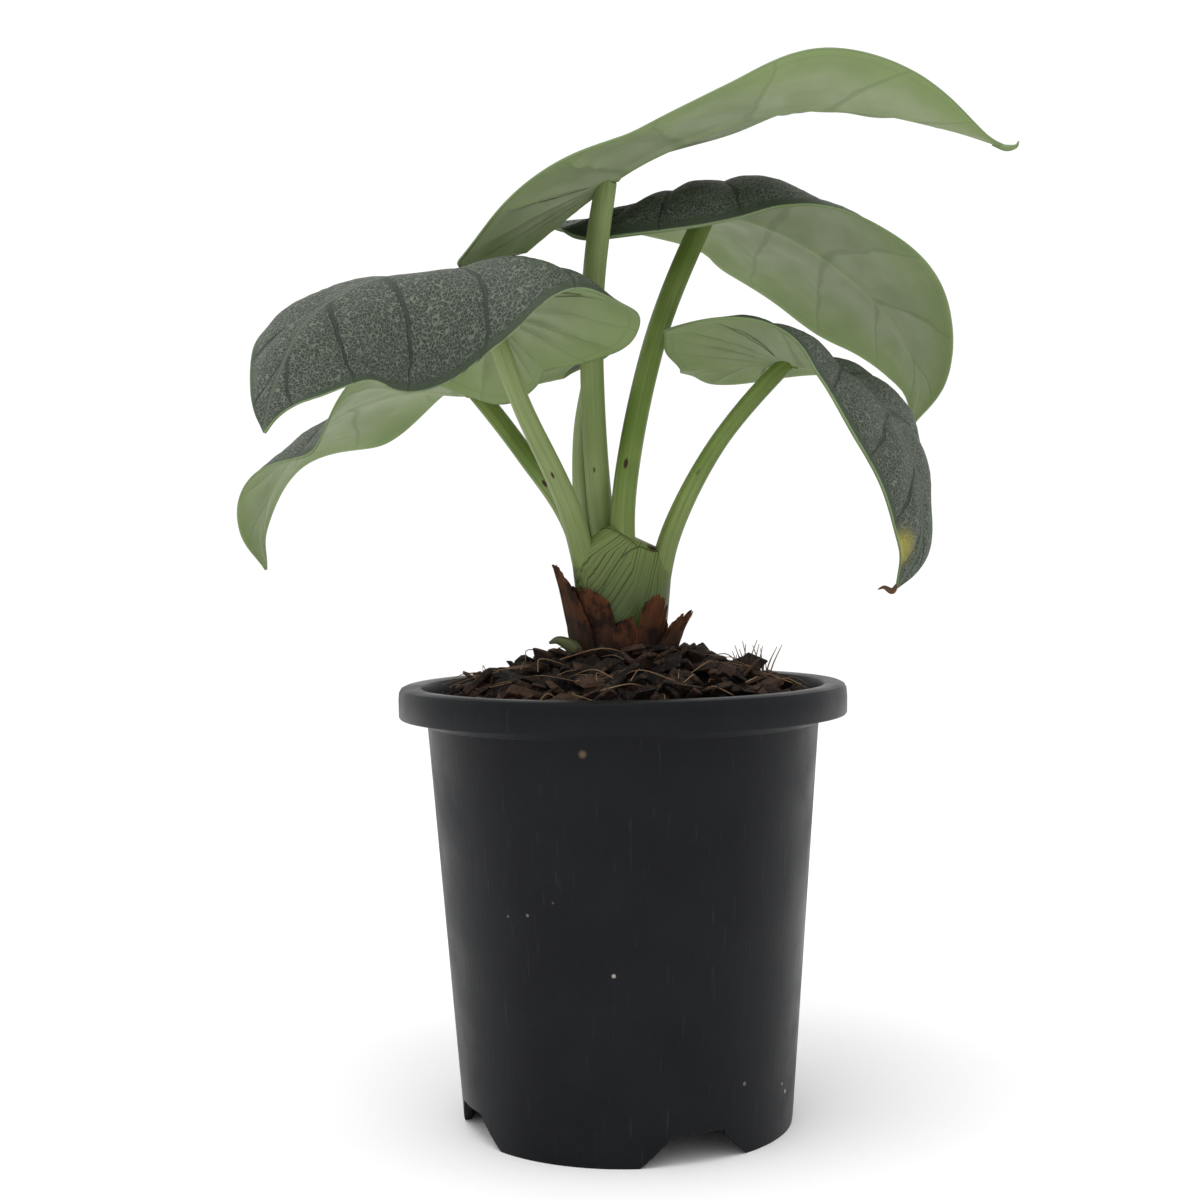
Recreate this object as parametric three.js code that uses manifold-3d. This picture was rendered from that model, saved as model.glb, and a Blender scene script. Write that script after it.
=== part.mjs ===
// A potted alocasia melo: five thick quilted leaves on stout petioles, in a black nursery pot.
// Millimetres, +Z up. The plant and pot are placed so that the middle of the whole object's box is at X = Y = 0,
// with the pot's feet on Z = 0. Every place below is measured from the pot's own axis.

import * as THREE from 'three';
import { mergeVertices } from 'three/addons/utils/BufferGeometryUtils.js';
import Module from 'manifold-3d';

const wasm = await Module();
wasm.setup();

// Where the pot's axis stands in the object's frame
const POT_AXIS_X = 11.6;
const POT_AXIS_Y = -3.7;

// Pot
const POT_HEIGHT = 136;
const RIM_RADIUS = 70;
const RIM_DEPTH = 9.5;
const RIM_INNER_RADIUS = 62.8;
const WALL = 1.8;
const BODY_TOP_RADIUS = 61.2;
const BODY_BASE_RADIUS = 51.2;
const LEDGE_HEIGHT = 124;
const BASE_PLATE_HEIGHT = 9.7;
const BASE_PLATE_THICKNESS = 1.6;
const POT_SIDES = 40;
const FOOT_NOTCHES = 4;
const FIRST_NOTCH_ANGLE = 22.3;
const NOTCH_BOTTOM_WIDTH = 34;
const NOTCH_TOP_WIDTH = 15;
const NOTCH_HEIGHT = 9.2;
const DRAIN_HOLE_RADIUS = 5;
const DRAIN_RING_RADIUS = 33;

// Growing mix
const MIX_EDGE_HEIGHT = 129;
const MOUND_HEIGHT = 143;
const MOUND_FLAT_RADIUS = 18;
const CHIP_COUNT = 40;
const CHIP_SEED = 7;

// Plant
const GAP = 0.3;
const CROWN_FOOT = 104;
const CROWN_TOP = 164;
const CROWN_RADIUS = 11.5;
const PETIOLE_SIDES = 10;
const PETIOLE_STEPS = 9;
const BLADE_HALF_THICKNESS = 0.5;
const MIDRIB_DEPTH = 1.2;
const QUILT_HEIGHT = 1.5;
const QUILT_FULL_WIDTH = 20;
const MIDRIB_VALLEY = 4;
const LATERAL_VEINS = 10;
const ACROSS = [0, 0.14, 0.34, 0.57, 0.8, 1];

// Half of a flat blade's outline, from the notch behind the petiole, round the back lobe, to the tip.
// The first number is in blade lengths from the petiole's joint, the second in half widths.
const BLADE_OUTLINE = [
  [-0.26, 0], [-0.34, 0.22], [-0.375, 0.44], [-0.33, 0.68], [-0.18, 0.89], [0.03, 1],
  [0.28, 0.96], [0.55, 0.76], [0.78, 0.44], [0.93, 0.15], [1, 0],
];
const NOTCH_ROUNDING = 0.05;
// The share of the outline, from the notch, whose side veins all start at the petiole's joint
const BACK_LOBE_SHARE = 0.45;
const VEIN_CROWDING = 1.2;

// Each leaf: its joint, the way that its tip points (degrees from +X towards +Y), its half width, how deep its
// notch and how long its back lobes are, its ripple (height, waves along the margin, start in turns), its
// petiole's radii and route, and its midrib stations.
// A station holds: forward, left and up from the joint, roll in degrees, then for the right half and the
// left half the fold at the midrib and the further droop to the margin, in degrees.
const LEAVES = {
  a: {
    joint: [-3, -12, 291], heading: -25, halfWidth: 43, notch: 0.26, lobeReach: 1,
    ripple: [0.6, 5, 0.1], radii: [4.4, 4, 3.6, 3.3],
    petiole: [[0, 7, 156], [-6.5, 5.5, 195], [-8, -5, 250], [-3, -12, 291]],
    stations: [
      [-47, 0, -30, 0, 2, -20, 56, -20],
      [0, 0, 0, 0, 2, -15, 28, -10],
      [29, 0, 11, 0, -6, -5, 14, 0],
      [55, 0, 16, 0, 0, 0, 14, 0],
      [80, 0, 14, 0, 28, 0, 8, 0],
      [106, 0, 6, 0, 44, 0, 20, 0],
      [123, 0, -1, 0, 35, 0, 30, 0],
    ],
  },
  b: {
    joint: [30, 32, 288], heading: 8, halfWidth: 48, notch: 0.28, lobeReach: 1.2,
    ripple: [0.8, 5, 0.3], radii: [4.2, 3.8, 3.6, 3.4],
    petiole: [[2, -4, 156], [1.4, -0.5, 195], [12.2, 14, 245], [30, 32, 288]],
    stations: [
      [-48, 0, -10, -10, 10, -105, 52, -60],
      [0, 0, 0, -10, 32, -125, 18, -20],
      [21, 0, -3, -10, 24, -85, -3, 0],
      [43, 0, -15, -10, 14, -40, -8, 0],
      [63, 0, -33, -10, 10, 0, -14, 0],
      [73, 0, -54, -10, 14, 0, -8, 0],
      [70, 0, -70, -10, 20, 0, 10, 0],
    ],
  },
  c: {
    joint: [-40, -28, 251], heading: 226, halfWidth: 47, notch: 0.28, lobeReach: 1.02,
    ripple: [1, 5, 0.6], radii: [4.2, 3.6, 3, 2.8],
    petiole: [[-7.5, -5, 156], [-15.5, -9, 190], [-29.5, -18, 222], [-40, -28, 251]],
    stations: [
      [-42, 0, -27, 0, -8, -30, 56, -75],
      [0, 0, 0, 0, 2, -30, 52, -115],
      [24, 0, 7, 0, 2, -30, 12, -115],
      [46, 0, 3, 0, 2, -30, -30, -105],
      [66, 0, -9, 0, -4, -30, -52, -70],
      [77, 0, -27, 0, -4, -10, -44, -40],
      [81, 0, -40, 0, 0, 0, 0, 0],
    ],
  },
  d: {
    joint: [53, 0, 236], heading: -20, halfWidth: 36, notch: 0.36, lobeReach: 1,
    ripple: [0.5, 4, 0.5], radii: [3.8, 3.3, 2.8, 2.7],
    petiole: [[9.8, 1.5, 156], [16, -1, 183], [31, -2, 211], [53, 0, 236]],
    stations: [
      [-45, 0, 0, -20, 20, -60, 18, -40],
      [0, 0, 0, -5, 36, -60, 20, -40],
      [20, 0, -6, 5, 20, -45, 16, -50],
      [34, 0, -20, 10, 6, -35, 0, -35],
      [41, 0, -39, 15, 4, -30, -14, -30],
      [41, 0, -58, 20, 0, -20, -14, -20],
      [34, 0, -71, 25, 0, 0, -5, 0],
    ],
  },
  e: {
    joint: [-48, 48, 232], heading: 160, halfWidth: 38, notch: 0.26, lobeReach: 1,
    ripple: [1.4, 4, 0.2], radii: [4, 3.6, 3.2, 3],
    petiole: [[-8, 6.5, 156], [-15, 12.5, 186], [-31, 31, 210], [-48, 48, 232]],
    stations: [
      [-28, 0, 4, 0, 30, -10, 24, -10],
      [0, 0, 0, 0, 26, -10, 16, -10],
      [28, 0, 1, 0, 8, -10, 5, -10],
      [56, 0, -8, 0, -12, -10, -22, -20],
      [76, 0, -26, 0, 12, -10, -6, -20],
      [85, 0, -46, 0, 20, -20, 18, -20],
      [82, 0, -60, 0, 20, 0, 20, 0],
    ],
  },
};

// The rolled new leaf that stands behind the tallest petiole
const NEW_LEAF = {
  petiole: [[-5.5, 13.8, 156], [-7.5, 15.5, 172], [-11, 13.5, 190], [-11.5, 11, 215], [-9.5, 10, 238]],
  radii: [3.2, 3.4, 3.6, 3, 0.7],
};

// The hooked side bud at the crown's foot
const BUD_ROUTE = [[-7, -5, 138], [-13, -8, 147], [-19, -10, 150], [-22, -11, 147]];
const BUD_RADII = [4, 3.6, 2.4, 0.8];

// Balls whose hull is the neck that the sheaths make together: their middles and radii
const NECK_BALLS = [
  [-10.5, -6.5, 175, 4.2], [-9.5, 8, 172, 4.4], [11.5, 0.5, 174, 4.2], [1.5, -3.5, 178, 4.4],
  [-3.5, -4, 181, 4.2], [-4, 6, 179, 4.4], [0, 0, 152, 12],
];

// Papery old sheaths round the crown, in layers: the angle of the middle, half the span in degrees, foot
// and tip heights, how far the tip leans out, where the top edge peaks (-1 to 1) and how fast it falls
const DRY_SHEATHS = [
  { angle: 246, halfSpan: 58, layer: 0, foot: 141, tip: 167, lean: 3.5, peak: -0.8, fall: 0.22 },
  { angle: 200, halfSpan: 42, layer: 1, foot: 141, tip: 172, lean: 6, peak: 0, fall: 0.6 },
  { angle: 306, halfSpan: 26, layer: 1, foot: 141, tip: 163, lean: 4, peak: -0.1, fall: 0.45 },
  { angle: 350, halfSpan: 46, layer: 2, foot: 141, tip: 158, lean: 5.5, peak: -0.2, fall: 0.45 },
  { angle: 88, halfSpan: 52, layer: 0, foot: 141, tip: 162, lean: 4, peak: 0, fall: 0.5 },
];
const SHEATH_LAYER = 1.2;
const SHEATH_RADIUS = 14.6;
const SHEATH_HALF_THICKNESS = 0.4;

// Numbers and vectors
const radians = THREE.MathUtils.degToRad;
const lerp = THREE.MathUtils.lerp;
const clamp = THREE.MathUtils.clamp;
const smoothstep = THREE.MathUtils.smoothstep;

// A smooth row of values between the rows of a list, at a place counted in rows
function rowAt(rows, place) {
  const last = rows.length - 1;
  const at = clamp(place, 0, last - 1e-9);
  const i = Math.floor(at);
  const w = at - i;
  return rows[i].map((value, column) => {
    const next = rows[i + 1][column];
    const before = i > 0 ? rows[i - 1][column] : 2 * value - next;
    const after = i + 2 <= last ? rows[i + 2][column] : 2 * next - value;
    const slope = next - before;
    const bend = 2 * before - 5 * value + 4 * next - after;
    const turn = -before + 3 * value - 3 * next + after;
    return 0.5 * (2 * value + slope * w + bend * w * w + turn * w * w * w);
  });
}

// A repeatable draw of numbers between 0 and 1
function seededDraw(seed) {
  let state = seed;
  return () => {
    state = (state * 16807) % 2147483647;
    return state / 2147483647;
  };
}

// Solids
function solidOf(geometry) {
  const bare = geometry.clone();
  bare.deleteAttribute('normal');
  bare.deleteAttribute('uv');
  const merged = mergeVertices(bare, 1e-4);
  return new wasm.Manifold(new wasm.Mesh({
    numProp: 3,
    vertProperties: new Float32Array(merged.attributes.position.array),
    triVerts: new Uint32Array(merged.index.array),
  }));
}

function geometryOf(solid) {
  const mesh = solid.getMesh();
  const geometry = new THREE.BufferGeometry();
  geometry.setAttribute('position', new THREE.BufferAttribute(new Float32Array(mesh.vertProperties), 3));
  geometry.setIndex([...mesh.triVerts]);
  return geometry;
}

function largestPiece(solid) {
  return solid.decompose().reduce((best, piece) => (piece.volume() > best.volume() ? piece : best));
}

function indexedGeometry(points, triangles) {
  const geometry = new THREE.BufferGeometry();
  geometry.setAttribute('position', new THREE.Float32BufferAttribute(points.flatMap((p) => p.toArray()), 3));
  geometry.setIndex(triangles.flat());
  return geometry;
}

// A round tapering tube along a route of points, closed at both ends
function taperedTube(route, radii, grow = 0, steps = PETIOLE_STEPS, sides = PETIOLE_SIDES) {
  const spans = route.length - 1;
  const placeAt = (t) => new THREE.Vector3(...rowAt(route, t * spans));
  const points = [];
  const triangles = [];
  for (let step = 0; step <= steps; step++) {
    const t = step / steps;
    const centre = placeAt(t);
    const along = placeAt(Math.min(t + 0.01, 1)).sub(placeAt(Math.max(t - 0.01, 0))).normalize();
    const across = new THREE.Vector3(0, 1, 0).cross(along).normalize();
    const other = along.clone().cross(across);
    const [radius] = rowAt(radii.map((r) => [r]), t * spans);
    for (let side = 0; side < sides; side++) {
      const angle = (2 * Math.PI * side) / sides;
      const point = centre.clone();
      point.addScaledVector(across, (radius + grow) * Math.cos(angle));
      point.addScaledVector(other, (radius + grow) * Math.sin(angle));
      points.push(point);
    }
  }
  for (let step = 0; step < steps; step++) {
    for (let side = 0; side < sides; side++) {
      const next = (side + 1) % sides;
      const here = step * sides;
      const above = here + sides;
      triangles.push([here + side, here + next, above + next]);
      triangles.push([here + side, above + next, above + side]);
    }
  }
  const topRing = steps * sides;
  for (let side = 1; side < sides - 1; side++) {
    triangles.push([0, side + 1, side]);
    triangles.push([topRing, topRing + side, topRing + side + 1]);
  }
  return solidOf(indexedGeometry(points, triangles));
}

// A thin sheet given a thickness: a grid of triangles is doubled, and its open edges are walled
function thickSheet(points, normals, triangles, above, below) {
  const count = points.length;
  const both = [];
  for (const [side, depths] of [[1, above], [-1, below]]) {
    points.forEach((point, i) => both.push(point.clone().addScaledVector(normals[i], side * depths[i])));
  }
  const edges = new Map();
  for (const [a, b, c] of triangles) {
    for (const [from, to] of [[a, b], [b, c], [c, a]]) {
      edges.set(`${from},${to}`, [from, to]);
    }
  }
  const faces = [...triangles];
  for (const [a, b, c] of triangles) {
    faces.push([a + count, c + count, b + count]);
  }
  for (const [from, to] of edges.values()) {
    if (!edges.has(`${to},${from}`)) {
      faces.push([from, from + count, to + count]);
      faces.push([from, to + count, to]);
    }
  }
  return solidOf(indexedGeometry(both, faces));
}

// The pot: a turned shell with a lip turned down, a raised base plate, drain holes and four feet
function buildPot() {
  const underRim = POT_HEIGHT - RIM_DEPTH;
  const lipTop = POT_HEIGHT - WALL;
  const flare = RIM_INNER_RADIUS + WALL;
  const plateTop = BASE_PLATE_HEIGHT + BASE_PLATE_THICKNESS;
  const innerBaseRadius = BODY_BASE_RADIUS - WALL;
  const profile = [
    [0, BASE_PLATE_HEIGHT], [innerBaseRadius, BASE_PLATE_HEIGHT], [innerBaseRadius - 0.4, 0],
    [BODY_BASE_RADIUS, 0], [BODY_TOP_RADIUS, LEDGE_HEIGHT], [flare, underRim + 1.5], [flare, lipTop],
    [RIM_RADIUS - WALL, lipTop - 0.6], [RIM_RADIUS - WALL, underRim], [RIM_RADIUS - 0.2, underRim],
    [RIM_RADIUS, underRim + 2], [RIM_RADIUS, POT_HEIGHT - 2], [RIM_RADIUS - 0.6, POT_HEIGHT - 0.5],
    [RIM_RADIUS - 1.8, POT_HEIGHT], [RIM_INNER_RADIUS + 0.8, POT_HEIGHT], [RIM_INNER_RADIUS, POT_HEIGHT - 0.8],
    [RIM_INNER_RADIUS, underRim + 1], [BODY_TOP_RADIUS - WALL, LEDGE_HEIGHT - 1],
    [innerBaseRadius + 0.9, plateTop], [0, plateTop],
  ];
  const shell = new THREE.LatheGeometry(profile.map(([r, z]) => new THREE.Vector2(r, z)), POT_SIDES);
  shell.rotateX(Math.PI / 2);
  let pot = solidOf(shell);
  for (let i = 0; i < FOOT_NOTCHES; i++) {
    const angle = radians(-90 + FIRST_NOTCH_ANGLE) + (i * 2 * Math.PI) / FOOT_NOTCHES;
    pot = pot.subtract(footNotch(angle));
    pot = pot.subtract(drainHole(angle, DRAIN_RING_RADIUS));
    pot = pot.subtract(drainHole(angle + Math.PI / FOOT_NOTCHES, DRAIN_RING_RADIUS));
  }
  return pot.subtract(drainHole(0, 0));
}

// The round-cornered opening between two feet
function footNotch(angle) {
  const corner = 2;
  const half = NOTCH_BOTTOM_WIDTH / 2;
  const halfTop = NOTCH_TOP_WIDTH / 2;
  const outline = new THREE.Shape();
  outline.moveTo(-half - 1, -1);
  outline.lineTo(half + 1, -1);
  outline.lineTo(halfTop + corner, NOTCH_HEIGHT - corner);
  outline.quadraticCurveTo(halfTop + corner / 2, NOTCH_HEIGHT, halfTop - corner, NOTCH_HEIGHT);
  outline.lineTo(-halfTop + corner, NOTCH_HEIGHT);
  outline.quadraticCurveTo(-halfTop - corner / 2, NOTCH_HEIGHT, -halfTop - corner, NOTCH_HEIGHT - corner);
  const cutter = new THREE.ExtrudeGeometry(outline, { depth: 16, bevelEnabled: false, curveSegments: 3 });
  cutter.rotateX(Math.PI / 2);
  cutter.rotateZ(Math.PI / 2);
  cutter.translate(BODY_BASE_RADIUS - 9, 0, 0);
  cutter.rotateZ(angle);
  return solidOf(cutter);
}

function drainHole(angle, ring) {
  const hole = new THREE.CylinderGeometry(DRAIN_HOLE_RADIUS, DRAIN_HOLE_RADIUS, 6, 12);
  hole.rotateX(Math.PI / 2);
  hole.translate(ring * Math.cos(angle), ring * Math.sin(angle), BASE_PLATE_HEIGHT + 0.8);
  return solidOf(hole);
}

// The crown: a stout stem foot in the mix, from which the petioles' sheath bases open, joined by a flat neck
function buildCrown(grow) {
  const foot = CROWN_FOOT - grow;
  const radius = CROWN_RADIUS + grow;
  const profile = [
    [0, foot], [5 + grow, foot], [9 + grow, foot + 12], [radius, foot + 34],
    [radius + 1, CROWN_TOP - 10], [radius - 3, CROWN_TOP + grow], [0, CROWN_TOP + grow],
  ];
  const core = new THREE.LatheGeometry(profile.map(([r, z]) => new THREE.Vector2(r, z)), 18);
  core.rotateX(Math.PI / 2);
  const pieces = [solidOf(core)];
  for (const stalk of [...Object.values(LEAVES), NEW_LEAF]) {
    const [radius] = stalk.radii;
    pieces.push(taperedTube(sheathRoute(stalk), [8, 7.2, radius + 1.7, radius + 0.8], grow, 6, 10));
  }
  const balls = NECK_BALLS.map(([x, y, z, size]) => wasm.Manifold.sphere(size + grow, 16).translate([x, y, z]));
  pieces.push(wasm.Manifold.hull(balls));
  return wasm.Manifold.union(pieces);
}

// The lower part of a petiole's route, carried down into the crown
function sheathRoute(stalk) {
  const [x, y, z] = stalk.petiole[0];
  const low = [x * 0.35, y * 0.35, CROWN_FOOT + 30];
  const middle = [x * 0.62, y * 0.62, lerp(low[2], z, 0.55)];
  return [low, middle, [x * 0.93, y * 0.93, z], rowAt(stalk.petiole, 0.62)];
}

// A blade's midrib as points with their arc length from the joint, for placing the two halves on it
function midribOf(leaf) {
  const perSpan = 30;
  const forward = new THREE.Vector3(Math.cos(radians(leaf.heading)), Math.sin(radians(leaf.heading)), 0);
  const left = new THREE.Vector3(-forward.y, forward.x, 0);
  const samples = [];
  for (let i = 0; i <= (leaf.stations.length - 1) * perSpan; i++) {
    const row = rowAt(leaf.stations, i / perSpan);
    const point = new THREE.Vector3(...leaf.joint);
    point.addScaledVector(forward, row[0]).addScaledVector(left, row[1]);
    point.z += row[2];
    samples.push({ point, row, arc: 0 });
  }
  for (let i = 1; i < samples.length; i++) {
    samples[i].arc = samples[i - 1].arc + samples[i].point.distanceTo(samples[i - 1].point);
  }
  const jointArc = samples[perSpan].arc;
  samples.forEach((sample) => { sample.arc -= jointArc; });
  return { samples, left, length: samples[samples.length - 1].arc, outline: outlineOf(leaf) };
}

// The midrib's point, its forward, left and up directions, and its station values at one arc length
function midribFrame(midrib, arc) {
  const { samples, left } = midrib;
  const last = samples.length - 1;
  const clamped = clamp(arc, samples[0].arc, samples[last].arc);
  let i = samples.findIndex((sample) => sample.arc >= clamped) - 1;
  i = clamp(i, 0, last - 1);
  const w = (clamped - samples[i].arc) / (samples[i + 1].arc - samples[i].arc);
  const along = samples[Math.min(i + 5, last)].point.clone().sub(samples[Math.max(i - 5, 0)].point).normalize();
  const point = samples[i].point.clone().lerp(samples[i + 1].point, w).addScaledVector(along, arc - clamped);
  const row = samples[i].row.map((value, column) => lerp(value, samples[i + 1].row[column], w));
  const level = left.clone().addScaledVector(along, -along.dot(left)).normalize();
  const up = along.clone().cross(level);
  const roll = radians(row[3]);
  const side = level.clone().multiplyScalar(Math.cos(roll)).addScaledVector(up, Math.sin(roll));
  return { point, side, up: along.clone().cross(side), row };
}

// The outline of one leaf, with its own notch and back lobes
function outlineOf(leaf) {
  const outline = BLADE_OUTLINE.map(([u, v]) => [u < 0 ? u * leaf.lobeReach : u, v]);
  outline[0][0] = -leaf.notch;
  outline[1][0] = (outline[2][0] - leaf.notch - NOTCH_ROUNDING) / 2;
  return outline;
}

// One point of a blade: half is -1 for the right half and 1 for the left, vein is 0 at the notch and 1 at
// the tip, reach is 0 on the midrib and 1 on the margin
function bladePoint(leaf, midrib, half, vein, reach) {
  const [outU, outV] = rowAt(midrib.outline, vein * (BLADE_OUTLINE.length - 1));
  const past = Math.max(vein - BACK_LOBE_SHARE, 0) / (1 - BACK_LOBE_SHARE);
  const rootX = Math.pow(past, VEIN_CROWDING) * midrib.length;
  const marginX = outU * midrib.length;
  const marginY = outV * leaf.halfWidth;
  const sweep = vein > 0.4 ? -0.1 * marginY : 0;
  const bendX = (rootX + marginX) / 2 + sweep;
  const keep = 1 - reach;
  const x = keep * keep * rootX + 2 * reach * keep * bendX + reach * reach * marginX;
  const y = reach * keep * marginY + reach * reach * marginY;
  const { point, side, up, row } = midribFrame(midrib, x);
  const fold = radians(half > 0 ? row[6] : row[4]);
  const droop = radians(half > 0 ? row[7] : row[5]) / leaf.halfWidth;
  const inValley = Math.min(y, MIDRIB_VALLEY);
  const beyond = Math.max(y - MIDRIB_VALLEY, 0);
  const valley = curl(0, fold / MIDRIB_VALLEY, inValley);
  const slope = curl(fold, droop, beyond);
  const tilt = (fold * inValley) / MIDRIB_VALLEY + droop * beyond;
  point.addScaledVector(side, (valley.out + slope.out) * half).addScaledVector(up, valley.rise + slope.rise);
  const normal = up.clone().multiplyScalar(Math.cos(tilt)).addScaledVector(side, -half * Math.sin(tilt));
  return { point, normal };
}

// How far out and up a strip reaches that starts at one slope and turns evenly along its length
function curl(start, turn, length) {
  if (Math.abs(turn) < 1e-6) {
    return { out: length * Math.cos(start), rise: length * Math.sin(start) };
  }
  const end = start + turn * length;
  return { out: (Math.sin(end) - Math.sin(start)) / turn, rise: (Math.cos(start) - Math.cos(end)) / turn };
}

// How far a blade's face stands up between its side veins, and ripples near its margin
function bladeRelief(leaf, ray, reach) {
  const [height, waves, start] = leaf.ripple;
  const between = ray % 2 === 1 ? 1 : -0.35;
  const along = ray / (2 * LATERAL_VEINS);
  const width = leaf.halfWidth * rowAt(BLADE_OUTLINE, along * (BLADE_OUTLINE.length - 1))[1];
  const room = Math.min(width / QUILT_FULL_WIDTH, 1);
  const swell = smoothstep(reach, 0.14, 0.4) * (1 - smoothstep(reach, 0.7, 1.05));
  const quilt = QUILT_HEIGHT * room * between * swell;
  const fade = Math.sin(Math.PI * along);
  return quilt + height * fade * reach * reach * Math.sin(2 * Math.PI * (waves * along + start));
}

// A blade: a welded sheet of both halves, quilted between the side veins, with a raised midrib below
function buildBlade(leaf, grow = 0) {
  const midrib = midribOf(leaf);
  const rays = 2 * LATERAL_VEINS;
  const points = [];
  const normals = [];
  const depths = [];
  const known = new Map();
  const triangles = [];
  const vertex = (half, ray, ring) => {
    const reach = ACROSS[ring];
    const { point, normal } = bladePoint(leaf, midrib, half, ray / rays, reach);
    const key = point.toArray().map((value) => Math.round(value * 1e3)).join();
    if (!known.has(key)) {
      known.set(key, points.length);
      points.push(point.addScaledVector(normal, bladeRelief(leaf, ray, reach)));
      normals.push(normal);
      depths.push(ring === 0 ? lerp(MIDRIB_DEPTH, 0.2, ray / rays) : 0);
    }
    return known.get(key);
  };
  for (const half of [-1, 1]) {
    for (let ray = 0; ray < rays; ray++) {
      for (let ring = 0; ring < ACROSS.length - 1; ring++) {
        const a = vertex(half, ray, ring);
        const b = vertex(half, ray + 1, ring);
        const c = vertex(half, ray + 1, ring + 1);
        const d = vertex(half, ray, ring + 1);
        for (const face of [[a, b, c], [a, c, d]]) {
          const [p, q, r] = half > 0 ? face : [face[0], face[2], face[1]];
          if (p !== q && q !== r && r !== p) triangles.push([p, q, r]);
        }
      }
    }
  }
  const above = points.map(() => BLADE_HALF_THICKNESS + grow);
  const below = depths.map((depth) => BLADE_HALF_THICKNESS + depth + grow);
  return thickSheet(points, normals, triangles, above, below);
}

// A papery sheath: a thin curved sheet round the crown that narrows to a leaning tip
function buildDrySheath({ angle, halfSpan, layer, foot, tip, lean, peak, fall }, grow = 0) {
  const columns = 8;
  const rows = 5;
  const points = [];
  const triangles = [];
  for (let row = 0; row <= rows; row++) {
    const t = row / rows;
    for (let column = 0; column <= columns; column++) {
      const s = (2 * column) / columns - 1;
      const turn = radians(angle + s * (halfSpan * (1 - 0.2 * t) + 4 * grow));
      const rise = t * (1 - fall * (s - peak) ** 2);
      const radius = SHEATH_RADIUS + layer * SHEATH_LAYER + lean * rise * rise;
      const height = lerp(foot - grow, tip, rise);
      points.push(new THREE.Vector3(radius * Math.cos(turn), radius * Math.sin(turn), height));
    }
  }
  for (let row = 0; row < rows; row++) {
    for (let column = 0; column < columns; column++) {
      const a = row * (columns + 1) + column;
      const b = a + columns + 1;
      triangles.push([a, a + 1, b + 1], [a, b + 1, b]);
    }
  }
  const sheet = indexedGeometry(points, triangles);
  sheet.computeVertexNormals();
  const normals = points.map((_, i) => new THREE.Vector3().fromBufferAttribute(sheet.attributes.normal, i));
  const half = points.map(() => SHEATH_HALF_THICKNESS + grow);
  return thickSheet(points, normals, triangles, half, half);
}

// The mix: a filled pot with a mound round the crown, and bark chips fused into its top
function buildMix(cutters) {
  const inside = WALL + GAP;
  const floor = BASE_PLATE_HEIGHT + BASE_PLATE_THICKNESS + GAP;
  const floorRadius = BODY_BASE_RADIUS - inside + 0.7;
  const ledgeRadius = BODY_TOP_RADIUS - inside - 0.2;
  const rimRadius = RIM_INNER_RADIUS - GAP - 0.3;
  const room = [
    [0, floor], [floorRadius, floor], [ledgeRadius, LEDGE_HEIGHT - 1], [rimRadius, POT_HEIGHT - RIM_DEPTH + 1.5],
    [rimRadius, 160], [0, 160],
  ];
  const mound = [
    [0, floor - 5], [floorRadius + 20, floor - 5], [floorRadius + 20, MIX_EDGE_HEIGHT],
    [rimRadius - 6, MIX_EDGE_HEIGHT], [38, 137], [MOUND_FLAT_RADIUS, MOUND_HEIGHT], [0, MOUND_HEIGHT],
  ];
  const turned = (profile) => {
    const lathe = new THREE.LatheGeometry(profile.map(([r, z]) => new THREE.Vector2(r, z)), 32);
    lathe.rotateX(Math.PI / 2);
    return solidOf(lathe);
  };
  const draw = seededDraw(CHIP_SEED);
  const chips = [];
  for (let i = 0; i < CHIP_COUNT; i++) {
    chips.push(barkChip(i, draw));
  }
  const heap = turned(mound).add(wasm.Manifold.union(chips)).intersect(turned(room));
  return largestPiece(cutters.reduce((left, cutter) => left.subtract(cutter), heap));
}

// One bark chip: an uneven block, set by a spiral rule with a seeded tilt
function barkChip(index, draw) {
  const goldenTurn = Math.PI * (3 - Math.sqrt(5));
  const share = (index + 0.5) / CHIP_COUNT;
  const ring = lerp(17, 55, Math.sqrt(share));
  const turn = index * goldenTurn;
  const rest = ring < 38 ? lerp(MOUND_HEIGHT, 137, (ring - 17) / 21) : lerp(137, MIX_EDGE_HEIGHT + 1, (ring - 38) / 18);
  const length = lerp(9, 17, draw());
  const chip = new THREE.BoxGeometry(length, length * lerp(0.55, 0.85, draw()), lerp(5, 8, draw()));
  const corners = chip.attributes.position;
  for (let i = 0; i < corners.count; i++) {
    const taper = corners.getZ(i) > 0 ? lerp(0.62, 0.8, (index % 5) / 4) : 1;
    corners.setX(i, corners.getX(i) * taper);
    corners.setY(i, corners.getY(i) * taper);
  }
  chip.rotateX(lerp(-0.5, 0.5, draw()));
  chip.rotateY(lerp(-0.5, 0.5, draw()));
  chip.rotateZ(draw() * Math.PI);
  chip.translate(ring * Math.cos(turn), ring * Math.sin(turn), rest);
  return solidOf(chip);
}

// Materials, one to each kind of surface
const pot = new THREE.MeshStandardMaterial({ color: 0x202124, roughness: 0.45, metalness: 0 });
const mix = new THREE.MeshStandardMaterial({ color: 0x2a2019, roughness: 0.95, metalness: 0 });
const blade = new THREE.MeshStandardMaterial({ color: 0x4a5750, roughness: 0.6, metalness: 0 });
const petiole = new THREE.MeshStandardMaterial({ color: 0x7c9458, roughness: 0.5, metalness: 0 });
const crown = new THREE.MeshStandardMaterial({ color: 0x52663a, roughness: 0.55, metalness: 0 });
const youngLeaf = new THREE.MeshStandardMaterial({ color: 0x9db27c, roughness: 0.5, metalness: 0 });
const dryLeaf = new THREE.MeshStandardMaterial({ color: 0x5a3a26, roughness: 0.9, metalness: 0 });

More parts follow.
